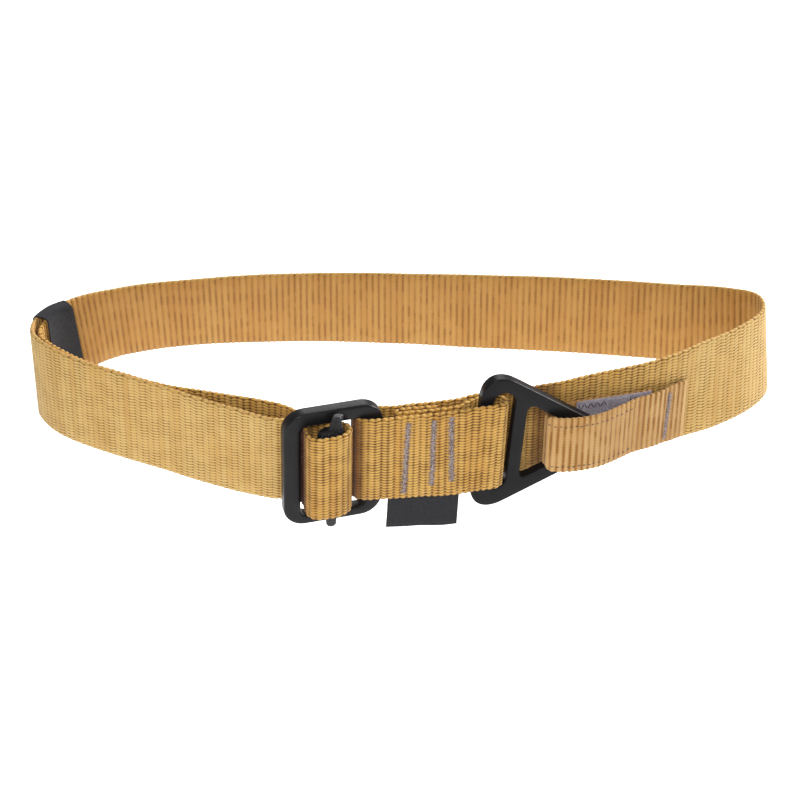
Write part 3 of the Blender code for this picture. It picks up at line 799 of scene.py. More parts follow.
def ribbon(name, rows, width, thick, surface, rib=RIB, outer_relief=0.1, inner_relief=0.3,
           scallop=0.2, step=CURVE_STEP, middle=0.0, boldness=None, depth=None):
    """Woven strap along the rows, in millimetres; returns the piece and its length."""
    walked, places = even_route(rows, step)
    centre, up, out = frames_along(places)
    ridge = np.abs(np.sin(np.pi * walked / rib))
    bold = boldness(walked, places) if boldness else np.zeros(len(walked))
    # Painted shade on the outer and the inner side at each place, read back by the material.
    painted_shade = depth(places) if depth else np.zeros((len(walked), 2))
    widths = np.array([width(x, y) for x, y in places[:, :2]]) if callable(width) else width
    half = widths / 2 - (scallop + BOLD_EXTRA * bold) * (1.0 - ridge)
    outer = thick / 2 - (outer_relief + BOLD_EXTRA * bold) * (1.0 - ridge)
    inner = thick / 2 - inner_relief * (1.0 - ridge ** 1.5)
    flat = np.linspace(-1.0, 1.0, POINTS_ACROSS)
    edge = thick * EDGE_PART
    section = [(u, 0.0, 1.0, 0.0) for u in flat]
    section += [(1.0, *row) for row in ROUND_EDGE]
    section += [(u, 0.0, -1.0, 1.0) for u in flat[::-1]]
    section += [(-1.0, *row) for row in ROUND_EDGE[::-1]]
    grid = np.zeros((len(walked), len(section), 3))
    for k, (u, proud, n, _) in enumerate(section):
        across_by = middle + u * (half - edge) + np.sign(u) * proud * edge
        out_by = n * (outer if n > 0 else inner)
        grid[:, k] = centre + up * across_by[:, None] + out * out_by[:, None]
    count = len(section)
    vertices = grid.reshape(-1, 3) * MM
    faces = []
    for i in range(len(walked) - 1):
        for k in range(count):
            j = (k + 1) % count
            faces.append((i * count + k, i * count + j, (i + 1) * count + j, (i + 1) * count + k))
    last = (len(walked) - 1) * count
    faces.append(tuple(range(count))[::-1])
    faces.append(tuple(range(last, last + count)))
    mesh = bpy.data.meshes.new(name)
    mesh.from_pydata(vertices.tolist(), [], faces)
    sides = np.array([s[3] for s in section])
    marks = {
        "inner_side": np.tile(sides, len(walked)),
        "bold": np.repeat(bold, count),
        "painted_shade": (painted_shade @ np.array([1.0 - sides, sides])).ravel(),
    }
    for title, values in marks.items():
        mark = mesh.attributes.new(title, "FLOAT", "POINT")
        mark.data.foreach_set("value", values.astype(np.float32))
    uv = mesh.uv_layers.new(name="strap")
    widest = float(np.max(widths))
    # V runs evenly across, and the rounded edges are given a little more of it.
    v_of = [widest * MM * (0.5 + 0.5 * u * (1.0 + 0.04 * proud)) for u, proud, _, _ in section]
    owner = np.zeros(len(mesh.loops), dtype=np.int32)
    mesh.loops.foreach_get("vertex_index", owner)
    coords = np.column_stack((walked[owner // count] * MM, np.array(v_of)[owner % count]))
    uv.data.foreach_set("uv", coords.astype(np.float32).ravel())
    piece = linked(name, mesh, surface)
    outward(piece)
    return piece, walked[-1]


# %% [markdown]
# With the tool, the long strap is one call. Where it is folded, sewn or wound, its ribs are pushed
# together and stand out boldly, and their colours are painted darker and more orange, as shade between
# the layers; along the plain loop round the waist the ribs are finer. At three places between two
# layers shade is painted on the strap, nearly dark. The strap replaces the plain solid.

# %% The long strap
# The bold ribs and the shade painted with them change together along the strap.
BOLD_LESS_FROM = (50.0, -41.9)  # past the ring the ribs are a little less bold
BOLD_LESS = 0.7
BOLD_ENDS_AT = (112.0, -21.9)  # on the right of the front they begin to fade
BOLD_STARTS_AT = (-58.0, -64.4)  # and just before the buckle they begin to come back
BOLD_CHANGES = (8.0, 28.0, 6.0)  # lengths of these three changes
# Spots of painted shade, where a face lies between two layers and gets little light.
PAINTED_SHADE_SPOTS = [
    # x, y, reach, strength on the outer side and on the inner side
    (-22.3, -65.8, 5.2, 0.0, 0.85),
    (*buckle_plan(-14.8, 0.6), 6.6, 1.0, 0.0),
    (63.5, -38.6, 6.5, 0.6, 0.0),
]
FULLER = 1.4  # the soft edges stand this much proud of the plain solid


def strap_boldness(walked, places):
    """How bold the ribs are, and how much shade is painted with them, at each place along the strap,
    from 0 to 1.
    """
    less, ends, starts = (walked[np.argmin(np.hypot(places[:, 0] - x, places[:, 1] - y))]
                          for x, y in (BOLD_LESS_FROM, BOLD_ENDS_AT, BOLD_STARTS_AT))
    lessens, fades, rises = BOLD_CHANGES
    return np.interp(walked, [less - lessens, less, ends, ends + fades, starts, starts + rises],
                     [1.0, BOLD_LESS, BOLD_LESS, 0.0, 0.0, 1.0])


def strap_painted_shade(places):
    """How much shade is painted on the outer and the inner face at each place."""
    shade_amounts = np.zeros((len(places), 2))
    for x, y, reach, *strengths in PAINTED_SHADE_SPOTS:
        away = np.hypot(places[:, 0] - x, places[:, 1] - y) / reach
        shade_amounts = np.maximum(shade_amounts, np.outer(np.exp(-away ** 4), strengths))
    return shade_amounts


strap, strap_length = ribbon("woven_strap", strap_rows(), WEBBING_WIDTH + FULLER, WEBBING_THICK, TAN,
                             boldness=strap_boldness, depth=strap_painted_shade)
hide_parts("webbing")
print("strap, metres:", round(strap_length * MM, 3))

# %% [markdown]
# The tab is a narrower, lighter webbing with bold ribs. It starts flat on the strap, passes through
# the eye of the V ring, folds round its tip and comes back to be sewn down. Both its ends and the
# fastener lie beside the strap, so they follow its curve at their distance from it.

# %% The way of the tab


def beside_strap(rows, distance, keep, step=5.0):
    """Rows beside a stretch of the strap where keep is true of the place on the strap."""
    curve = [point for point in smooth(rows) if keep(point)]
    every = max(1, round(step / CURVE_STEP))
    picked = curve[::every]
    if curve[-1] not in picked:
        picked.append(curve[-1])
    return shifted([tuple(point) for point in picked], distance)


# Distances from the middle of the strap to the middle of each layer on it.
TAB_ON_STRAP = WEBBING_THICK / 2 + SEAT + BEND_AIR + TAB_THICK / 2
LOOP_ON_STRAP = TAB_ON_STRAP + TAB_THICK / 2 + SEAT + BEND_AIR + PAD_THICK / 2
HOOK_ON_STRAP = LOOP_ON_STRAP + PAD_THICK + SEAT + BEND_AIR
# Stretches of the strap by x, for the hidden end of the tab and for the two pads.
TAB_BACK_SPAN = (78.0, 113.5)
LOOP_SPAN = (77.0, 112.5)
HOOK_SPAN = (91.0, 102.0)
PAST_RING = BEHIND_RING + RIGHT_FRONT + RIGHT_BEND
TAB_LEVEL = [(64.0, -2.2), (130.0, -6.6)]  # x and height at both ends
# Round the tip of the V ring. Columns: along the ring, in front of its middle plane.
TAB_FOLD = [
    (39.0, -4.6),
    (35.0, -3.5),
    (32.7, 0.1),
    (33.6, 4.2),
    (36.6, 6.2),
    (41.0, 6.9),
    (49.2, 6.5),
    (57.0, 4.7),
    (62.6, 2.3),
]
# Where the tab comes back to the strap. Columns: x on the strap, distance in front of its middle.
TAB_RETURN = [
    (97.0, 10.1),
    (103.0, 7.6),
    (109.0, 6.4),
    (115.0, 5.4),
    (120.5, 3.5),
    (125.5, 2.55),
    (130.0, 2.55),
]
EYE_REACH = 50.0  # along the ring, past the eye
SQUEEZE = (3.4, 4.6)  # squeezed nearer to the ring's plane than this, and free beyond this


def tab_level(x):
    """Height of the middle line of the tab; it slopes down to the right."""
    (x0, z0), (x1, z1) = TAB_LEVEL
    return z0 + (z1 - z0) * (x - x0) / (x1 - x0)


def tab_rows():
    """From the hidden end at the strap to the left, round the tip of the V ring and back."""
    left, right = TAB_BACK_SPAN
    back = beside_strap(PAST_RING, -TAB_ON_STRAP, lambda p: left <= p.x <= right)
    fold = [(*ring_plan(*row), 0.0) for row in TAB_FOLD]
    curve = [tuple(point) for point in smooth(PAST_RING)]
    front = []
    for x, distance in TAB_RETURN:
        here = min(range(len(curve)), key=lambda i: abs(curve[i][0] - x))
        front.append(shifted(curve[here - 1:here + 2], -distance)[1])
    return [(x, y, tab_level(x)) for x, y, _ in list(reversed(back)) + fold + front]


def tab_width(x, y):
    """Width of the tab at a place in plan; the webbing is squeezed where it passes the eye."""
    e, n = across(RING_YAW)
    arm = Vector((x, y)) - Vector(RING_LEFT)
    if arm.dot(e) > EYE_REACH:
        return TAB_WIDTH
    near, free = SQUEEZE
    part = min(max((abs(arm.dot(n)) - near) / (free - near), 0.0), 1.0)
    return TAB_SQUEEZED + (TAB_WIDTH - TAB_SQUEEZED) * part


def pad_rows(distance, span):
    """A half of the fastener, level with the tab."""
    rows = beside_strap(PAST_RING, -distance, lambda p: span[0] <= p.x <= span[1])
    return [(x, y, tab_level(x)) for x, y, _ in rows]


print("rows of the tab:", len(tab_rows()))

# %% [markdown]
# The tab is made with the ribbon tool. Its last stretch is smooth and pale, because the cut end of
# such webbing is melted so that it doesn't fray.

# %% The tab
MELTED_END = 1.6


def melted_end(walked, _):
    """1 on the last stretch of the tab, whose cut end was melted smooth and pale, and 0 before it."""
    return np.interp(walked, [walked[-1] - MELTED_END - 0.5, walked[-1] - MELTED_END], [0.0, 1.0])


tab, tab_length = ribbon("ring_tab_webbing", tab_rows(), tab_width, TAB_THICK, PALE_TAN,
                         rib=2.8, outer_relief=0.3, inner_relief=0.2, scallop=0.35,
                         boldness=melted_end)
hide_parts("ring_tab")
print("tab, metres:", round(tab_length * MM, 3))

# %% [markdown]
# Between the two layers of the tab sit the grey halves of a hook and loop fastener, which is what the
# tab opens with. Their pile is a fuzzy grey of fine tufts and broader blots.

# %% The fastener
PAD_RISE = 1.2  # how much higher than the tab they sit


def fuzzy_tape(name, light, dark):
    made, tree, shader = new_material(name, 0.95, Sheen_Weight=0.5)
    place = tree.here()
    tufts = tree.noise(place, 1100.0, 4.0, 0.7)
    blots = tree.noise(place, 160.0, 2.0)
    mixed = tree.math("MULTIPLY_ADD", tufts, 0.6, tree.math("MULTIPLY", blots, 0.4))
    tree.put(tree.mix(tree.between(mixed, 0.35, 0.65), dark, light), shader.inputs["Base Color"])
    tree.put(tree.bump(mixed, 0.3 * MM), shader.inputs["Normal"])
    return made


LOOP_GREY = fuzzy_tape("grey_loop_tape", (0.36, 0.32, 0.37), (0.17, 0.15, 0.19))
HOOK_GREY = fuzzy_tape("grey_hook_tape", (0.33, 0.30, 0.34), (0.14, 0.13, 0.15))

for node, distance, span, surface in (
    ("loop_pad", LOOP_ON_STRAP, LOOP_SPAN, LOOP_GREY),
    ("hook_pad", HOOK_ON_STRAP, HOOK_SPAN, HOOK_GREY),
):
    pad, pad_length = ribbon(node.replace("pad", "tape"), pad_rows(distance, span), PAD_WIDTH,
                             PAD_THICK, surface, outer_relief=0.0, inner_relief=0.0, scallop=0.0,
                             middle=PAD_RISE)
    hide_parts(node)
    print(pad.name, "metres:", round(pad_length * MM, 4))

# %% [markdown]
# The keeper and the label are black cloth of two kinds, a coarser elastic and a fine tape. Both show
# a small grid of threads with a little lint on it, laid out by the UV map of the piece.

# %% Black cloth


def black_cloth(name, rows_apart, tone):
    made, tree, shader = new_material(name, 0.85, Sheen_Weight=0.05, Specular_IOR_Level=0.12)
    along, over = tree.strap_map()
    grid = tree.math("MULTIPLY", tree.wave(along, rows_apart * 1.6 * MM),
                     tree.wave(over, rows_apart * MM))
    lint = tree.noise(tree.here(), 700.0, 3.0)
    shade = tree.math("MULTIPLY_ADD", lint, 0.5, tree.math("MULTIPLY", grid, 0.5))
    dark = (tone * 0.35, tone * 0.35, tone * 0.4)
    light = (tone * 1.5, tone * 1.5, tone * 1.7)
    tree.put(tree.mix(shade, dark, light), shader.inputs["Base Color"])
    tree.put(tree.bump(grid, 0.12 * MM), shader.inputs["Normal"])
    return made


ELASTIC = black_cloth("black_elastic", 0.7, 0.026)
LABEL_TAPE = black_cloth("black_label_tape", 0.35, 0.024)
print("black cloths:", ELASTIC.name, "and", LABEL_TAPE.name)

# %% [markdown]
# The keeper is a wide elastic band round the strap and its tail. It is a closed loop, so it is skinned
# from an outer and an inner outline, each a rectangle with rounded corners that is a little wider
# than strap and tail together.

# %% The outline of the keeper
BAND_OPENING = (-5.5, 1.45, -25.2, 23.3)  # inner side, outer side, below and above the strap
BAND_WALL = 0.75
BAND_CORNER = 2.0
ARC_STEPS = 6
OUTLINE_STEP = 2.5


def rounded_outline(growth):
    """The opening moved outwards by growth, as places (up, out) from its lower inner corner on."""
    inside, outside, below, above = BAND_OPENING
    low, high = below + BAND_CORNER, above - BAND_CORNER
    near, far = inside + BAND_CORNER, outside - BAND_CORNER
    points = []
    for quarter, centre in enumerate(((low, near), (high, near), (high, far), (low, far))):
        for k in range(ARC_STEPS + 1):
            a = math.pi / 2 * (quarter + 2 + k / ARC_STEPS)
            arm = Vector((math.cos(a), math.sin(a))) * (BAND_CORNER + growth)
            points.append(Vector(centre) + arm)
    return points


def refined(outline, spacing):
    """The same closed outline with points no further apart than the spacing."""
    points = []
    for here, there in zip(outline, outline[1:] + outline[:1]):
        parts = max(1, math.ceil((there - here).length / spacing))
        points += [here.lerp(there, k / parts) for k in range(parts)]
    return points


OUTLINES = [refined(rounded_outline(growth), OUTLINE_STEP) for growth in (BAND_WALL, 0.0)]
print("points round the keeper:", [len(outline) for outline in OUTLINES])

# %% [markdown]
# The two outlines are repeated at each station of the left bend and joined, at the ends too, so that
# the band is closed.

# %% The keeper
KEEPER_SPAN = (17.0, 35.2)  # the stretch of the left bend under it, by y
BAND_STEP = 0.8  # from outline to outline


def keeper_rows():
    """The bend of the strap under the keeper."""
    return beside_strap(LEFT_BEND, 0.0, lambda p: KEEPER_SPAN[0] <= p.y <= KEEPER_SPAN[1], 4.0)


def band(name, surface):
    """Closed elastic band round the strap and its tail."""
    walked, places = even_route(keeper_rows(), BAND_STEP)
    centre, up, out = frames_along(places)
    mesh_data = bmesh.new()
    uv = mesh_data.loops.layers.uv.new("strap")
    rings = []
    for outline in OUTLINES:
        rings.append([[mesh_data.verts.new(Vector(c + u * p[0] + n * p[1]) * MM) for p in outline]
                      for c, u, n in zip(centre, up, out)])
    loops = rings[0] + rings[1][::-1]
    reach = list(walked) + list(walked[::-1])
    for i in range(len(loops)):
        first, second = loops[i], loops[(i + 1) % len(loops)]
        for k in range(len(first)):
            j = (k + 1) % len(first)
            face = mesh_data.faces.new((first[k], first[j], second[j], second[k]))
            spots = ((reach[i], k), (reach[i], k + 1), (reach[(i + 1) % len(loops)], k + 1),
                     (reach[(i + 1) % len(loops)], k))
            for corner, (s, turn) in zip(face.loops, spots):
                corner[uv].uv = (s * MM, turn * OUTLINE_STEP * MM)
    bmesh.ops.recalc_face_normals(mesh_data, faces=mesh_data.faces)
    mesh = bpy.data.meshes.new(name)
    mesh_data.to_mesh(mesh)
    mesh_data.free()
    piece = linked(name, mesh, surface)
    mesh.set_sharp_from_angle(angle=math.radians(50))
    return piece


keeper = band("elastic_keeper", ELASTIC)
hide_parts("tail_keeper")

# %% [markdown]
# The label is a thin tape that hangs from between the front layer and the sewn layer behind it, where
# the stitches hold it. Its lower end swings a little to the left. Its place for words stays bare.

# %% The label
LABEL_SPAN = (-6.8, 26.0)  # the stretch of the front layer above it, by x
LABEL_SWING = 0.04  # how far it swings for each millimetre that it hangs

label_rows = beside_strap(FRONT_LAYER, -STACK_FIRST / 2,
                          lambda p: LABEL_SPAN[0] <= p.x <= LABEL_SPAN[1])
label_tall = LABEL_DROP + LABEL_TUCK
label, label_length = ribbon("bare_label", label_rows, label_tall, LABEL_THICK, LABEL_TAPE,
                             outer_relief=0.0, inner_relief=0.0, scallop=0.0, step=1.0,
                             middle=-WEBBING_WIDTH / 2 + LABEL_TUCK - label_tall / 2)
strap_bottom = -WEBBING_WIDTH / 2 * MM
for point in label.data.vertices:
    point.co.x -= LABEL_SWING * max(strap_bottom - point.co.z, 0.0)
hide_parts("label")
print("label, metres:", round(label_tall * MM, 4), "by", round(label_length * MM, 4))

# %% [markdown]
# The buckle frame starts as a cube of its outer size. Its four upright edges are bevelled to the
# round corners, a second cube with small round corners cuts the opening, and a last bevel softens
# every sharp edge, as casting and tumbling do on the real one. The piece is made lying flat, where
# its edges are easy to pick by direction, and is then stood up where the solid is.

# %% Helpers for metal
EDGE_ROUNDING = 1.6  # radius of the softened edges of the frame and the ring
CUTTER_THICK = 9.0  # cutters reach out of the plate on both sides


def stand_up(piece, at, yaw, lean, rise=0.0, turn=0.0):
    """Moves a piece made flat, X along and Y up, to its place on the belt, in its mesh."""
    spin = Matrix.Rotation(math.radians(turn), 4, "Z")
    tip_up = Matrix.Rotation(math.radians(90.0 + lean), 4, "X")
    rest = Matrix.Rotation(math.radians(yaw), 4, "Z") @ tip_up
    piece.matrix_world = Matrix.Translation(Vector((at[0], at[1], rise)) * MM) @ rest @ spin
    choose(piece)
    bpy.ops.object.transform_apply(location=True, rotation=True, scale=True)


def pick_none(kind):
    """Leaves nothing of the active piece selected, ready to pick edges or faces."""
    bpy.ops.object.mode_set(mode="EDIT")
    bpy.ops.mesh.select_mode(type=kind)
    bpy.ops.mesh.select_all(action="DESELECT")
    bpy.ops.object.mode_set(mode="OBJECT")


def round_uprights(piece, offsets, segments):
    """Bevels the edges that stand along Z; offsets gives the bevel for an edge at (x, y)."""
    bpy.context.view_layer.objects.active = piece
    for offset in sorted({round(v, 6) for v in offsets.values()}):
        pick_none("EDGE")
        points = piece.data.vertices
        for edge in piece.data.edges:
            a, b = (points[i].co for i in edge.vertices)
            upright = (a - b).xy.length < 1e-6
            near = min(offsets, key=lambda spot: (Vector(spot) - a.xy).length)
            edge.select = upright and (Vector(near) - a.xy).length < 1e-5 \
                and round(offsets[near], 6) == offset
        bpy.ops.object.mode_set(mode="EDIT")
        bpy.ops.mesh.bevel(offset=offset, segments=segments, affect="EDGES", profile=0.5)
        bpy.ops.object.mode_set(mode="OBJECT")


def flat_block(name, wide, tall, thick, middle, corner, segments=6):
    """Rectangular plate with round corners, made flat, in millimetres."""
    bpy.ops.object.select_all(action="DESELECT")
    bpy.ops.mesh.primitive_cube_add(size=1.0, location=(middle[0] * MM, middle[1] * MM, 0.0))
    piece = bpy.context.object
    piece.name = name
    piece.scale = (wide * MM, tall * MM, thick * MM)
    bpy.ops.object.transform_apply(location=True, rotation=True, scale=True)
    spots = {(v.co.x, v.co.y): corner * MM for v in piece.data.vertices}
    round_uprights(piece, spots, segments)
    return piece


def carve(piece, cutter):
    """Subtracts the cutter from the piece and removes it."""
    change = piece.modifiers.new("carve", "BOOLEAN")
    change.operation = "DIFFERENCE"
    change.solver = "EXACT"
    change.object = cutter
    bpy.context.view_layer.objects.active = piece
    bpy.ops.object.modifier_apply(modifier=change.name)
    bpy.data.objects.remove(cutter, do_unlink=True)


def soften(piece, width, segments, angle=38.0):
    """Rounds the remaining sharp edges."""
    bevel = piece.modifiers.new("soften", "BEVEL")
    bevel.width = width * MM
    bevel.segments = segments
    bevel.limit_method = "ANGLE"
    bevel.angle_limit = math.radians(angle)
    bevel.harden_normals = False
    choose(piece)
    bpy.ops.object.modifier_apply(modifier=bevel.name)
    bpy.ops.object.shade_smooth_by_angle(angle=math.radians(30.0))


# %% [markdown]
# The frame itself is one plate with one opening. Its two upright bars are wider than its rails, since
# they carry the strap, and the lower rail is the thinnest part.

# %% The buckle frame
FRAME_WIDTH = 45.5
FRAME_HEIGHT = 63.0
FRAME_THICK = 6.0
FRAME_CORNER = 10.0
FRAME_BAR = 7.7  # width of the upright bars
FRAME_RAIL = 7.0
LOWER_RAIL = 4.9
FRAME_MIDDLE = (-1.9, -0.6)  # of the plate, from the place of the frame
OPENING_CORNER = 3.2
OPENING_MIDDLE = (FRAME_MIDDLE[0], FRAME_MIDDLE[1] + (LOWER_RAIL - FRAME_RAIL) / 2)

buckle = flat_block("buckle_frame_steel", FRAME_WIDTH, FRAME_HEIGHT, FRAME_THICK, FRAME_MIDDLE,
                    corner=FRAME_CORNER, segments=10)
carve(buckle, flat_block("opening_cutter", FRAME_WIDTH - 2 * FRAME_BAR,
                         FRAME_HEIGHT - FRAME_RAIL - LOWER_RAIL, CUTTER_THICK, OPENING_MIDDLE,
                         corner=OPENING_CORNER))
soften(buckle, EDGE_ROUNDING, 5)
buckle.data.materials.append(FRAME_BLACK)
stand_up(buckle, FRAME_AT, FRAME_YAW, FRAME_LEAN)
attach(buckle, "root")
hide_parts("buckle_frame")
print("buckle frame faces:", len(buckle.data.polygons))

# %% [markdown]
# The V ring has the outline of an even triangle, so it starts as a cylinder with three sides. Its
# corners are bevelled round, a slot for the webbing and a three-sided eye are cut out, and its edges
# are softened like those of the buckle.

# %% The V ring
RING_SIDE = 82.6
RING_THICK = 5.6
RING_CORNERS = (10.5, 11.0)  # radii of the two left corners and of the tip
SLOT_SIZE = (10.1, 51.6)
SLOT_MIDDLE = (11.05, 1.1)
SLOT_CORNER = 5.0
EYE_SIDE = 42.1
EYE_LEFT = 22.1
EYE_CORNERS = (3.0, 3.5)


def flat_triangle(name, side, thick, left, corners, segments):
    """Even triangle pointing along X with its upright side at left, and its corners rounded."""
    radius = side / math.sqrt(3.0)
    bpy.ops.object.select_all(action="DESELECT")
    bpy.ops.mesh.primitive_cylinder_add(
        vertices=3, radius=radius * MM, depth=thick * MM,
        location=((left + radius / 2) * MM, 0.0, 0.0), rotation=(0.0, 0.0, -math.pi / 2))
    piece = bpy.context.object
    piece.name = name
    bpy.ops.object.transform_apply(location=True, rotation=True, scale=True)
    tip = max(v.co.x for v in piece.data.vertices)
    # A corner of 60 degrees is cut back by its radius times this.
    cut_back = math.tan(math.radians(60.0)) * MM
    spots = {(v.co.x, v.co.y): corners[1 if v.co.x > tip - 1e-6 else 0] * cut_back
             for v in piece.data.vertices}
    round_uprights(piece, spots, segments)
    return piece


ring = flat_triangle("v_ring_steel", RING_SIDE, RING_THICK, 0.0, RING_CORNERS, 12)
carve(ring, flat_block("slot_cutter", *SLOT_SIZE, CUTTER_THICK, SLOT_MIDDLE, corner=SLOT_CORNER))
carve(ring, flat_triangle("eye_cutter", EYE_SIDE, CUTTER_THICK, EYE_LEFT, EYE_CORNERS, 6))
soften(ring, EDGE_ROUNDING, 5)
ring.data.materials.append(RING_BLACK)
stand_up(ring, RING_LEFT, RING_YAW, 0.0, RING_RISE, -RING_TURN)
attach(ring, "root")
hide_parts("v_ring")
print("V ring faces:", len(ring.data.polygons))

# %% [markdown]
# The slide bar is what the strap wraps round. Its body is a flattened cylinder whose points stand
# alternately in and out, which gives the teeth that grip. On top a smooth hooked lug is pulled out of
# the cap by extruding, moving and narrowing it again and again; a short foot grows from the bottom in
# the same way.

# %% Pulling a lug out of a cap


def pull(piece, upwards, rows):
    """Extrudes the top or bottom cap through rows of (height, along, out, width, thickness)."""
    bpy.context.view_layer.objects.active = piece
    for height, along, out, wide, thick in rows:
        pick_none("FACE")
        levels = [face.center.y for face in piece.data.polygons if abs(face.normal.y) > 0.9]
        level = max(levels) if upwards else min(levels)
        cap = [face for face in piece.data.polygons
               if abs(face.normal.y) > 0.9 and abs(face.center.y - level) < 1e-5]
        for face in cap:
            face.select = True
        corners = [piece.data.vertices[i].co.copy() for face in cap for i in face.vertices]
        low = Vector((min(c.x for c in corners), min(c.z for c in corners)))
        high = Vector((max(c.x for c in corners), max(c.z for c in corners)))
        bpy.ops.object.mode_set(mode="EDIT")
        bpy.ops.mesh.extrude_region()
        bpy.ops.transform.resize(value=(2 * wide * MM / (high.x - low.x), 1.0,
                                        2 * thick * MM / (high.y - low.y)),
                                 center_override=((low.x + high.x) / 2, level, (low.y + high.y) / 2))
        bpy.ops.transform.translate(value=(along * MM - (low.x + high.x) / 2, height * MM - level,
                                           out * MM - (low.y + high.y) / 2))
        bpy.ops.object.mode_set(mode="OBJECT")


# %% [markdown]
# The rows of the lug and the foot follow the photo. Both reach past the opening of the frame, so that
# the bar can't slip through it. The teeth are hidden under the strap in the photo, and are a guess.

# %% The slide bar
SLIDE_AT = (-4.4, 7.75)  # along the frame and in front of it
SLIDE_TEETH = 44
SLIDE_LENGTH = 45.0  # of the toothed body
SLIDE_HALF_WIDTH = 6.1
SLIDE_HALF_THICK = 3.3
SLIDE_ROUNDING = 0.25
TOOTH_DEPTH = (0.94, 0.92)  # how far every other point stands in, along and out
LUG = [
    # height, along, out, half width, half thickness
    (24.0, 0.0, 0.0, 5.6, 3.0),
    (24.2, 0.8, -0.1, 4.8, 2.6),
    (24.4, 2.1, -0.3, 3.3, 2.3),
    (25.6, 2.3, -0.5, 3.0, 2.1),
    (27.4, 2.5, -0.6, 2.5, 1.9),
    (29.0, 2.8, -0.8, 2.1, 1.7),
    (29.7, 3.2, -0.8, 2.4, 1.8),
    (30.7, 3.3, -0.8, 2.4, 1.8),
    (31.2, 3.2, -0.8, 1.8, 1.3),
]
FOOT = [
    (-23.2, 0.3, -0.4, 3.4, 2.4),
    (-24.4, 0.4, -0.6, 2.7, 2.0),
    (-30.3, 0.4, -0.6, 2.3, 1.8),
    (-31.2, 0.4, -0.6, 1.7, 1.3),
]


def make_slide_bar():
    bpy.ops.object.select_all(action="DESELECT")
    bpy.ops.mesh.primitive_cylinder_add(
        vertices=2 * SLIDE_TEETH, radius=SLIDE_HALF_WIDTH * MM, depth=SLIDE_LENGTH * MM,
        rotation=(math.pi / 2, 0.0, 0.0))
    piece = bpy.context.object
    piece.name = "slide_bar_steel"
    piece.scale = (1.0, SLIDE_HALF_THICK / SLIDE_HALF_WIDTH, 1.0)
    bpy.ops.object.transform_apply(location=True, rotation=True, scale=True)
    round_bar = sorted(piece.data.vertices,
                       key=lambda v: (round(v.co.y, 5), math.atan2(v.co.z, v.co.x)))
    for point in round_bar[1::2]:
        point.co.x *= TOOTH_DEPTH[0]
        point.co.z *= TOOTH_DEPTH[1]
    pull(piece, True, LUG)
    pull(piece, False, FOOT)
    for point in piece.data.vertices:
        point.co.x += SLIDE_AT[0] * MM
        point.co.z += SLIDE_AT[1] * MM
    soften(piece, SLIDE_ROUNDING, 2, angle=55.0)
    piece.data.materials.append(BAR_BLACK)
    stand_up(piece, FRAME_AT, FRAME_YAW, FRAME_LEAN)
    return piece


slide = make_slide_bar()
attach(slide, "root")
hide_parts("slide_bar")
print("slide bar faces:", len(slide.data.polygons))

# %% [markdown]
# Stitches are small things that sell the scale. One thread of a bar tack is a short, slightly
# flattened bead, repeated up the strap and turned a little each time. The same bead, shorter and
# further apart, gives the seams along the tab.

# %% Threads and the stitch tool


def thread_material(name, tone, shadow):
    made, tree, shader = new_material(name, 0.6, Sheen_Weight=0.1, Specular_IOR_Level=0.3)
    plies = tree.noise(tree.here(), 1300.0, 3.0, 0.7)
    tree.put(tree.mix(tree.between(plies, 0.42, 0.56), shadow, tone), shader.inputs["Base Color"])
    return made


GREY_THREAD = thread_material("grey_purple_thread", (0.32, 0.265, 0.25), (0.10, 0.06, 0.06))
DARK_THREAD = thread_material("dark_thread", (0.10, 0.07, 0.08), (0.04, 0.02, 0.02))
BLACK_THREAD = thread_material("black_thread", (0.03, 0.026, 0.03), (0.01, 0.008, 0.01))


def stitches(name, spots, length, thick, surface):
    """Beads at spots of (place, direction, outward), in millimetres, as one piece."""
    mesh_data = bmesh.new()
    for place, direction, outward_axis in spots:
        bead = bmesh.ops.create_uvsphere(mesh_data, u_segments=8, v_segments=6, radius=0.5)
        z = Vector(outward_axis).normalized()
        x = Vector(direction).normalized()
        y = z.cross(x).normalized()
        x = y.cross(z)
        turn = Matrix((x * length, y * thick, z * thick * 0.8)).transposed().to_4x4()
        turn.translation = Vector(place)
        bmesh.ops.transform(mesh_data, matrix=Matrix.Scale(MM, 4) @ turn, verts=bead["verts"])
    mesh = bpy.data.meshes.new(name)
    mesh_data.to_mesh(mesh)
    mesh_data.free()
    piece = linked(name, mesh, surface)
    print(name, "stitches:", len(spots))


# %% [markdown]
# The three bar tacks hold the sewn layers, the label and the ring together, so they carry the load.
# Their threads lie close, slant by turns to the one and the other side, and run a little ragged, as a
# machine leaves them in thick webbing.

# %% Bar tacks on the front layer


def surface_route(rows, keep):
    """Centre, up and outward vectors along the part of a route where keep is true."""
    _, places = even_route(rows, FINE_STEP)
    places = places[[bool(keep(x, y)) for x, y, _ in places]]
    return frames_along(places)


def nearest(centre, x):
    """Index of the place that is nearest to x."""
    return int(np.argmin(np.abs(centre[:, 0] - x)))


FRONT_SPAN = (-12.0, 30.0)  # by x, as far as the tacks need it
FRONT_CENTRE, FRONT_UP, FRONT_OUT = surface_route(
    FRONT_LAYER, lambda x, y: FRONT_SPAN[0] < x < FRONT_SPAN[1])


def on_front(x, height, lift):
    """Place on the face of the front layer, with its up, along and outward vectors."""
    k = nearest(FRONT_CENTRE, x)
    outward_axis = -FRONT_OUT[k]
    place = FRONT_CENTRE[k] + FRONT_UP[k] * height + outward_axis * (WEBBING_THICK / 2 + lift)
    return place, FRONT_UP[k], np.cross(FRONT_UP[k], outward_axis), outward_axis


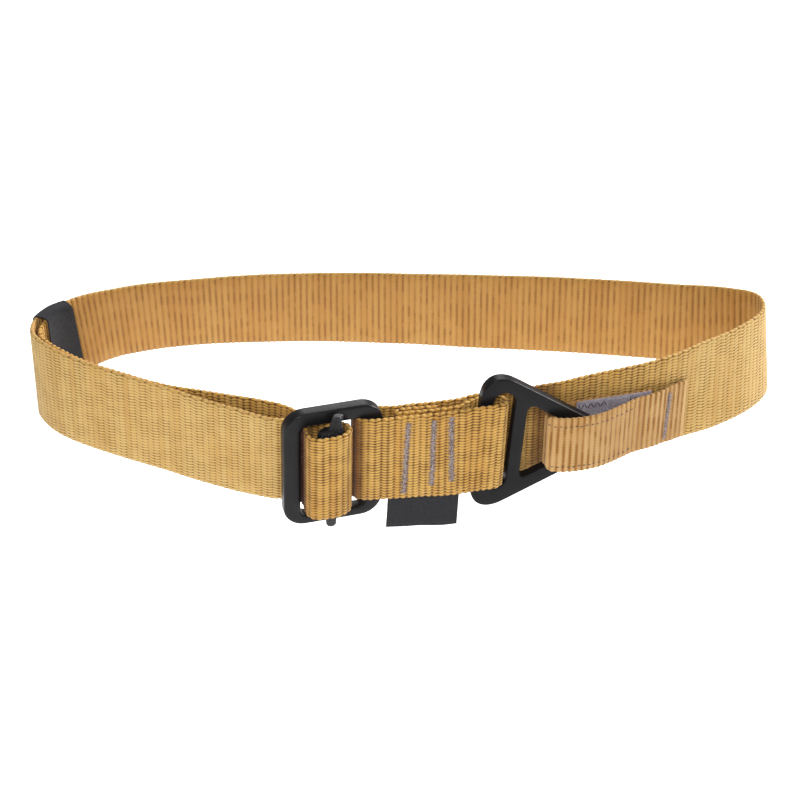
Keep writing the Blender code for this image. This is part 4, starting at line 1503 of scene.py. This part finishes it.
BAR_TACKS = [
    # name, x at the top, x at the bottom, top and bottom heights
    ("bar_tack_left", 1.6, 0.0, 19.8, -19.6),
    ("bar_tack_middle", 13.1, 12.6, 20.0, -16.0),
    ("bar_tack_right", 20.8, 21.6, 20.8, -14.4),
]
TACK_STEP = 0.42  # from thread to thread
TACK_SLANTS = (-0.18, 0.28)  # of the even and the odd threads
TACK_LIFT = 0.05  # above the face of the strap

for name, top_x, bottom_x, top, bottom in BAR_TACKS:
    spots = []
    count = int((top - bottom) / TACK_STEP)
    for k in range(count):
        part = k / (count - 1)
        x = top_x + (bottom_x - top_x) * part
        height = top + (bottom - top) * part
        place, up, along, out = on_front(x, height, TACK_LIFT)
        ragged = 0.35 * math.sin(2.3 * k) + 0.2 * math.sin(0.7 * k)
        spots.append((place + along * ragged, along + up * TACK_SLANTS[k % 2], out))
    stitches(name, spots, length=3.1, thick=0.5, surface=GREY_THREAD)

# %% [markdown]
# On the tab two seams of dark running stitches go along its edges, and one more tack holds its end.
# Each seam wanders by up to a quarter of a millimetre, since it was guided by hand.

# %% Seams and tack of the tab
SEAM_STEP = 2.35
UPPER_SEAM = (66.0, 104.0)  # by x
LOWER_SEAM = (68.0, 104.0)
SEAM_TOP = TAB_WIDTH / 2 - 4.6
SEAM_BOTTOM = 3.2 - TAB_WIDTH / 2
TAB_TACK_TOP = TAB_WIDTH / 2 - 3.5
TAB_TACK_BOTTOM = 2.5 - TAB_WIDTH / 2
TAB_TACK_X = 121.8
TAB_TACK_LEAN = 0.045  # how far the tack leans to the right for each millimetre up
TAB_CENTRE, TAB_UP, TAB_OUT = surface_route(tab_rows(), lambda x, y: True)
TAB_TURN = int(np.argmin(TAB_CENTRE[:, 0]))
TAB_SIDE = 1.0 if TAB_OUT[-1][1] > 0 else -1.0


def on_tab(x, height):
    """Place on the front face of the tab, in front of the ring and over the fastener."""
    k = TAB_TURN + nearest(TAB_CENTRE[TAB_TURN:], x)
    outward_axis = -TAB_OUT[k] * TAB_SIDE
    place = TAB_CENTRE[k] + TAB_UP[k] * height + outward_axis * TAB_THICK / 2
    return place, TAB_UP[k], np.cross(TAB_UP[k], TAB_OUT[k]), outward_axis


def seam(first, last, height):
    """Running stitches along the tab between two values of x."""
    spots = []
    for x in np.arange(first, last, SEAM_STEP):
        place, _, along, out = on_tab(x, height(x))
        spots.append((place, along, out))
    return spots


seams = seam(*UPPER_SEAM, lambda x: SEAM_TOP + 0.25 * math.sin(x))
seams += seam(*LOWER_SEAM, lambda x: SEAM_BOTTOM + 0.2 * math.sin(0.8 * x))
stitches("tab_seam", seams, length=1.7, thick=0.42, surface=DARK_THREAD)

spots = []
for k, height in enumerate(np.arange(TAB_TACK_TOP, TAB_TACK_BOTTOM, -TACK_STEP)):
    x = TAB_TACK_X + TAB_TACK_LEAN * height + 0.25 * math.sin(1.9 * k)
    place, up, along, out = on_tab(x, height)
    spots.append((place, along + up * TACK_SLANTS[k % 2], out))
stitches("tab_tack", spots, length=3.0, thick=0.5, surface=GREY_THREAD)

# %% [markdown]
# The loop half of the fastener is held by a zigzag of black thread near its upper edge. Each leg of
# the zigzag is one bead, laid from corner to corner.

# %% Zigzag on the loop tape
PAD_CENTRE, PAD_UP, PAD_OUT = surface_route(pad_rows(LOOP_ON_STRAP, LOOP_SPAN), lambda x, y: True)
PAD_SIDE = -1.0 if PAD_OUT[0][1] > 0 else 1.0
ZIGZAG_HEIGHTS = (PAD_RISE + PAD_WIDTH / 2 - 1.2, PAD_RISE + PAD_WIDTH / 2 - 4.4)
ZIGZAG_SPAN = (79.0, 110.0)
ZIGZAG_LEG = 1.5

corners = []
for k, x in enumerate(np.arange(*ZIGZAG_SPAN, ZIGZAG_LEG)):
    i = nearest(PAD_CENTRE, x)
    out = PAD_OUT[i] * PAD_SIDE
    corners.append((PAD_CENTRE[i] + PAD_UP[i] * ZIGZAG_HEIGHTS[k % 2] + out * PAD_THICK / 2, out))
legs = [((here + there) / 2, there - here, out)
        for (here, out), (there, _) in zip(corners, corners[1:])]
stitches("loop_zigzag", legs, length=3.4, thick=0.45, surface=BLACK_THREAD)
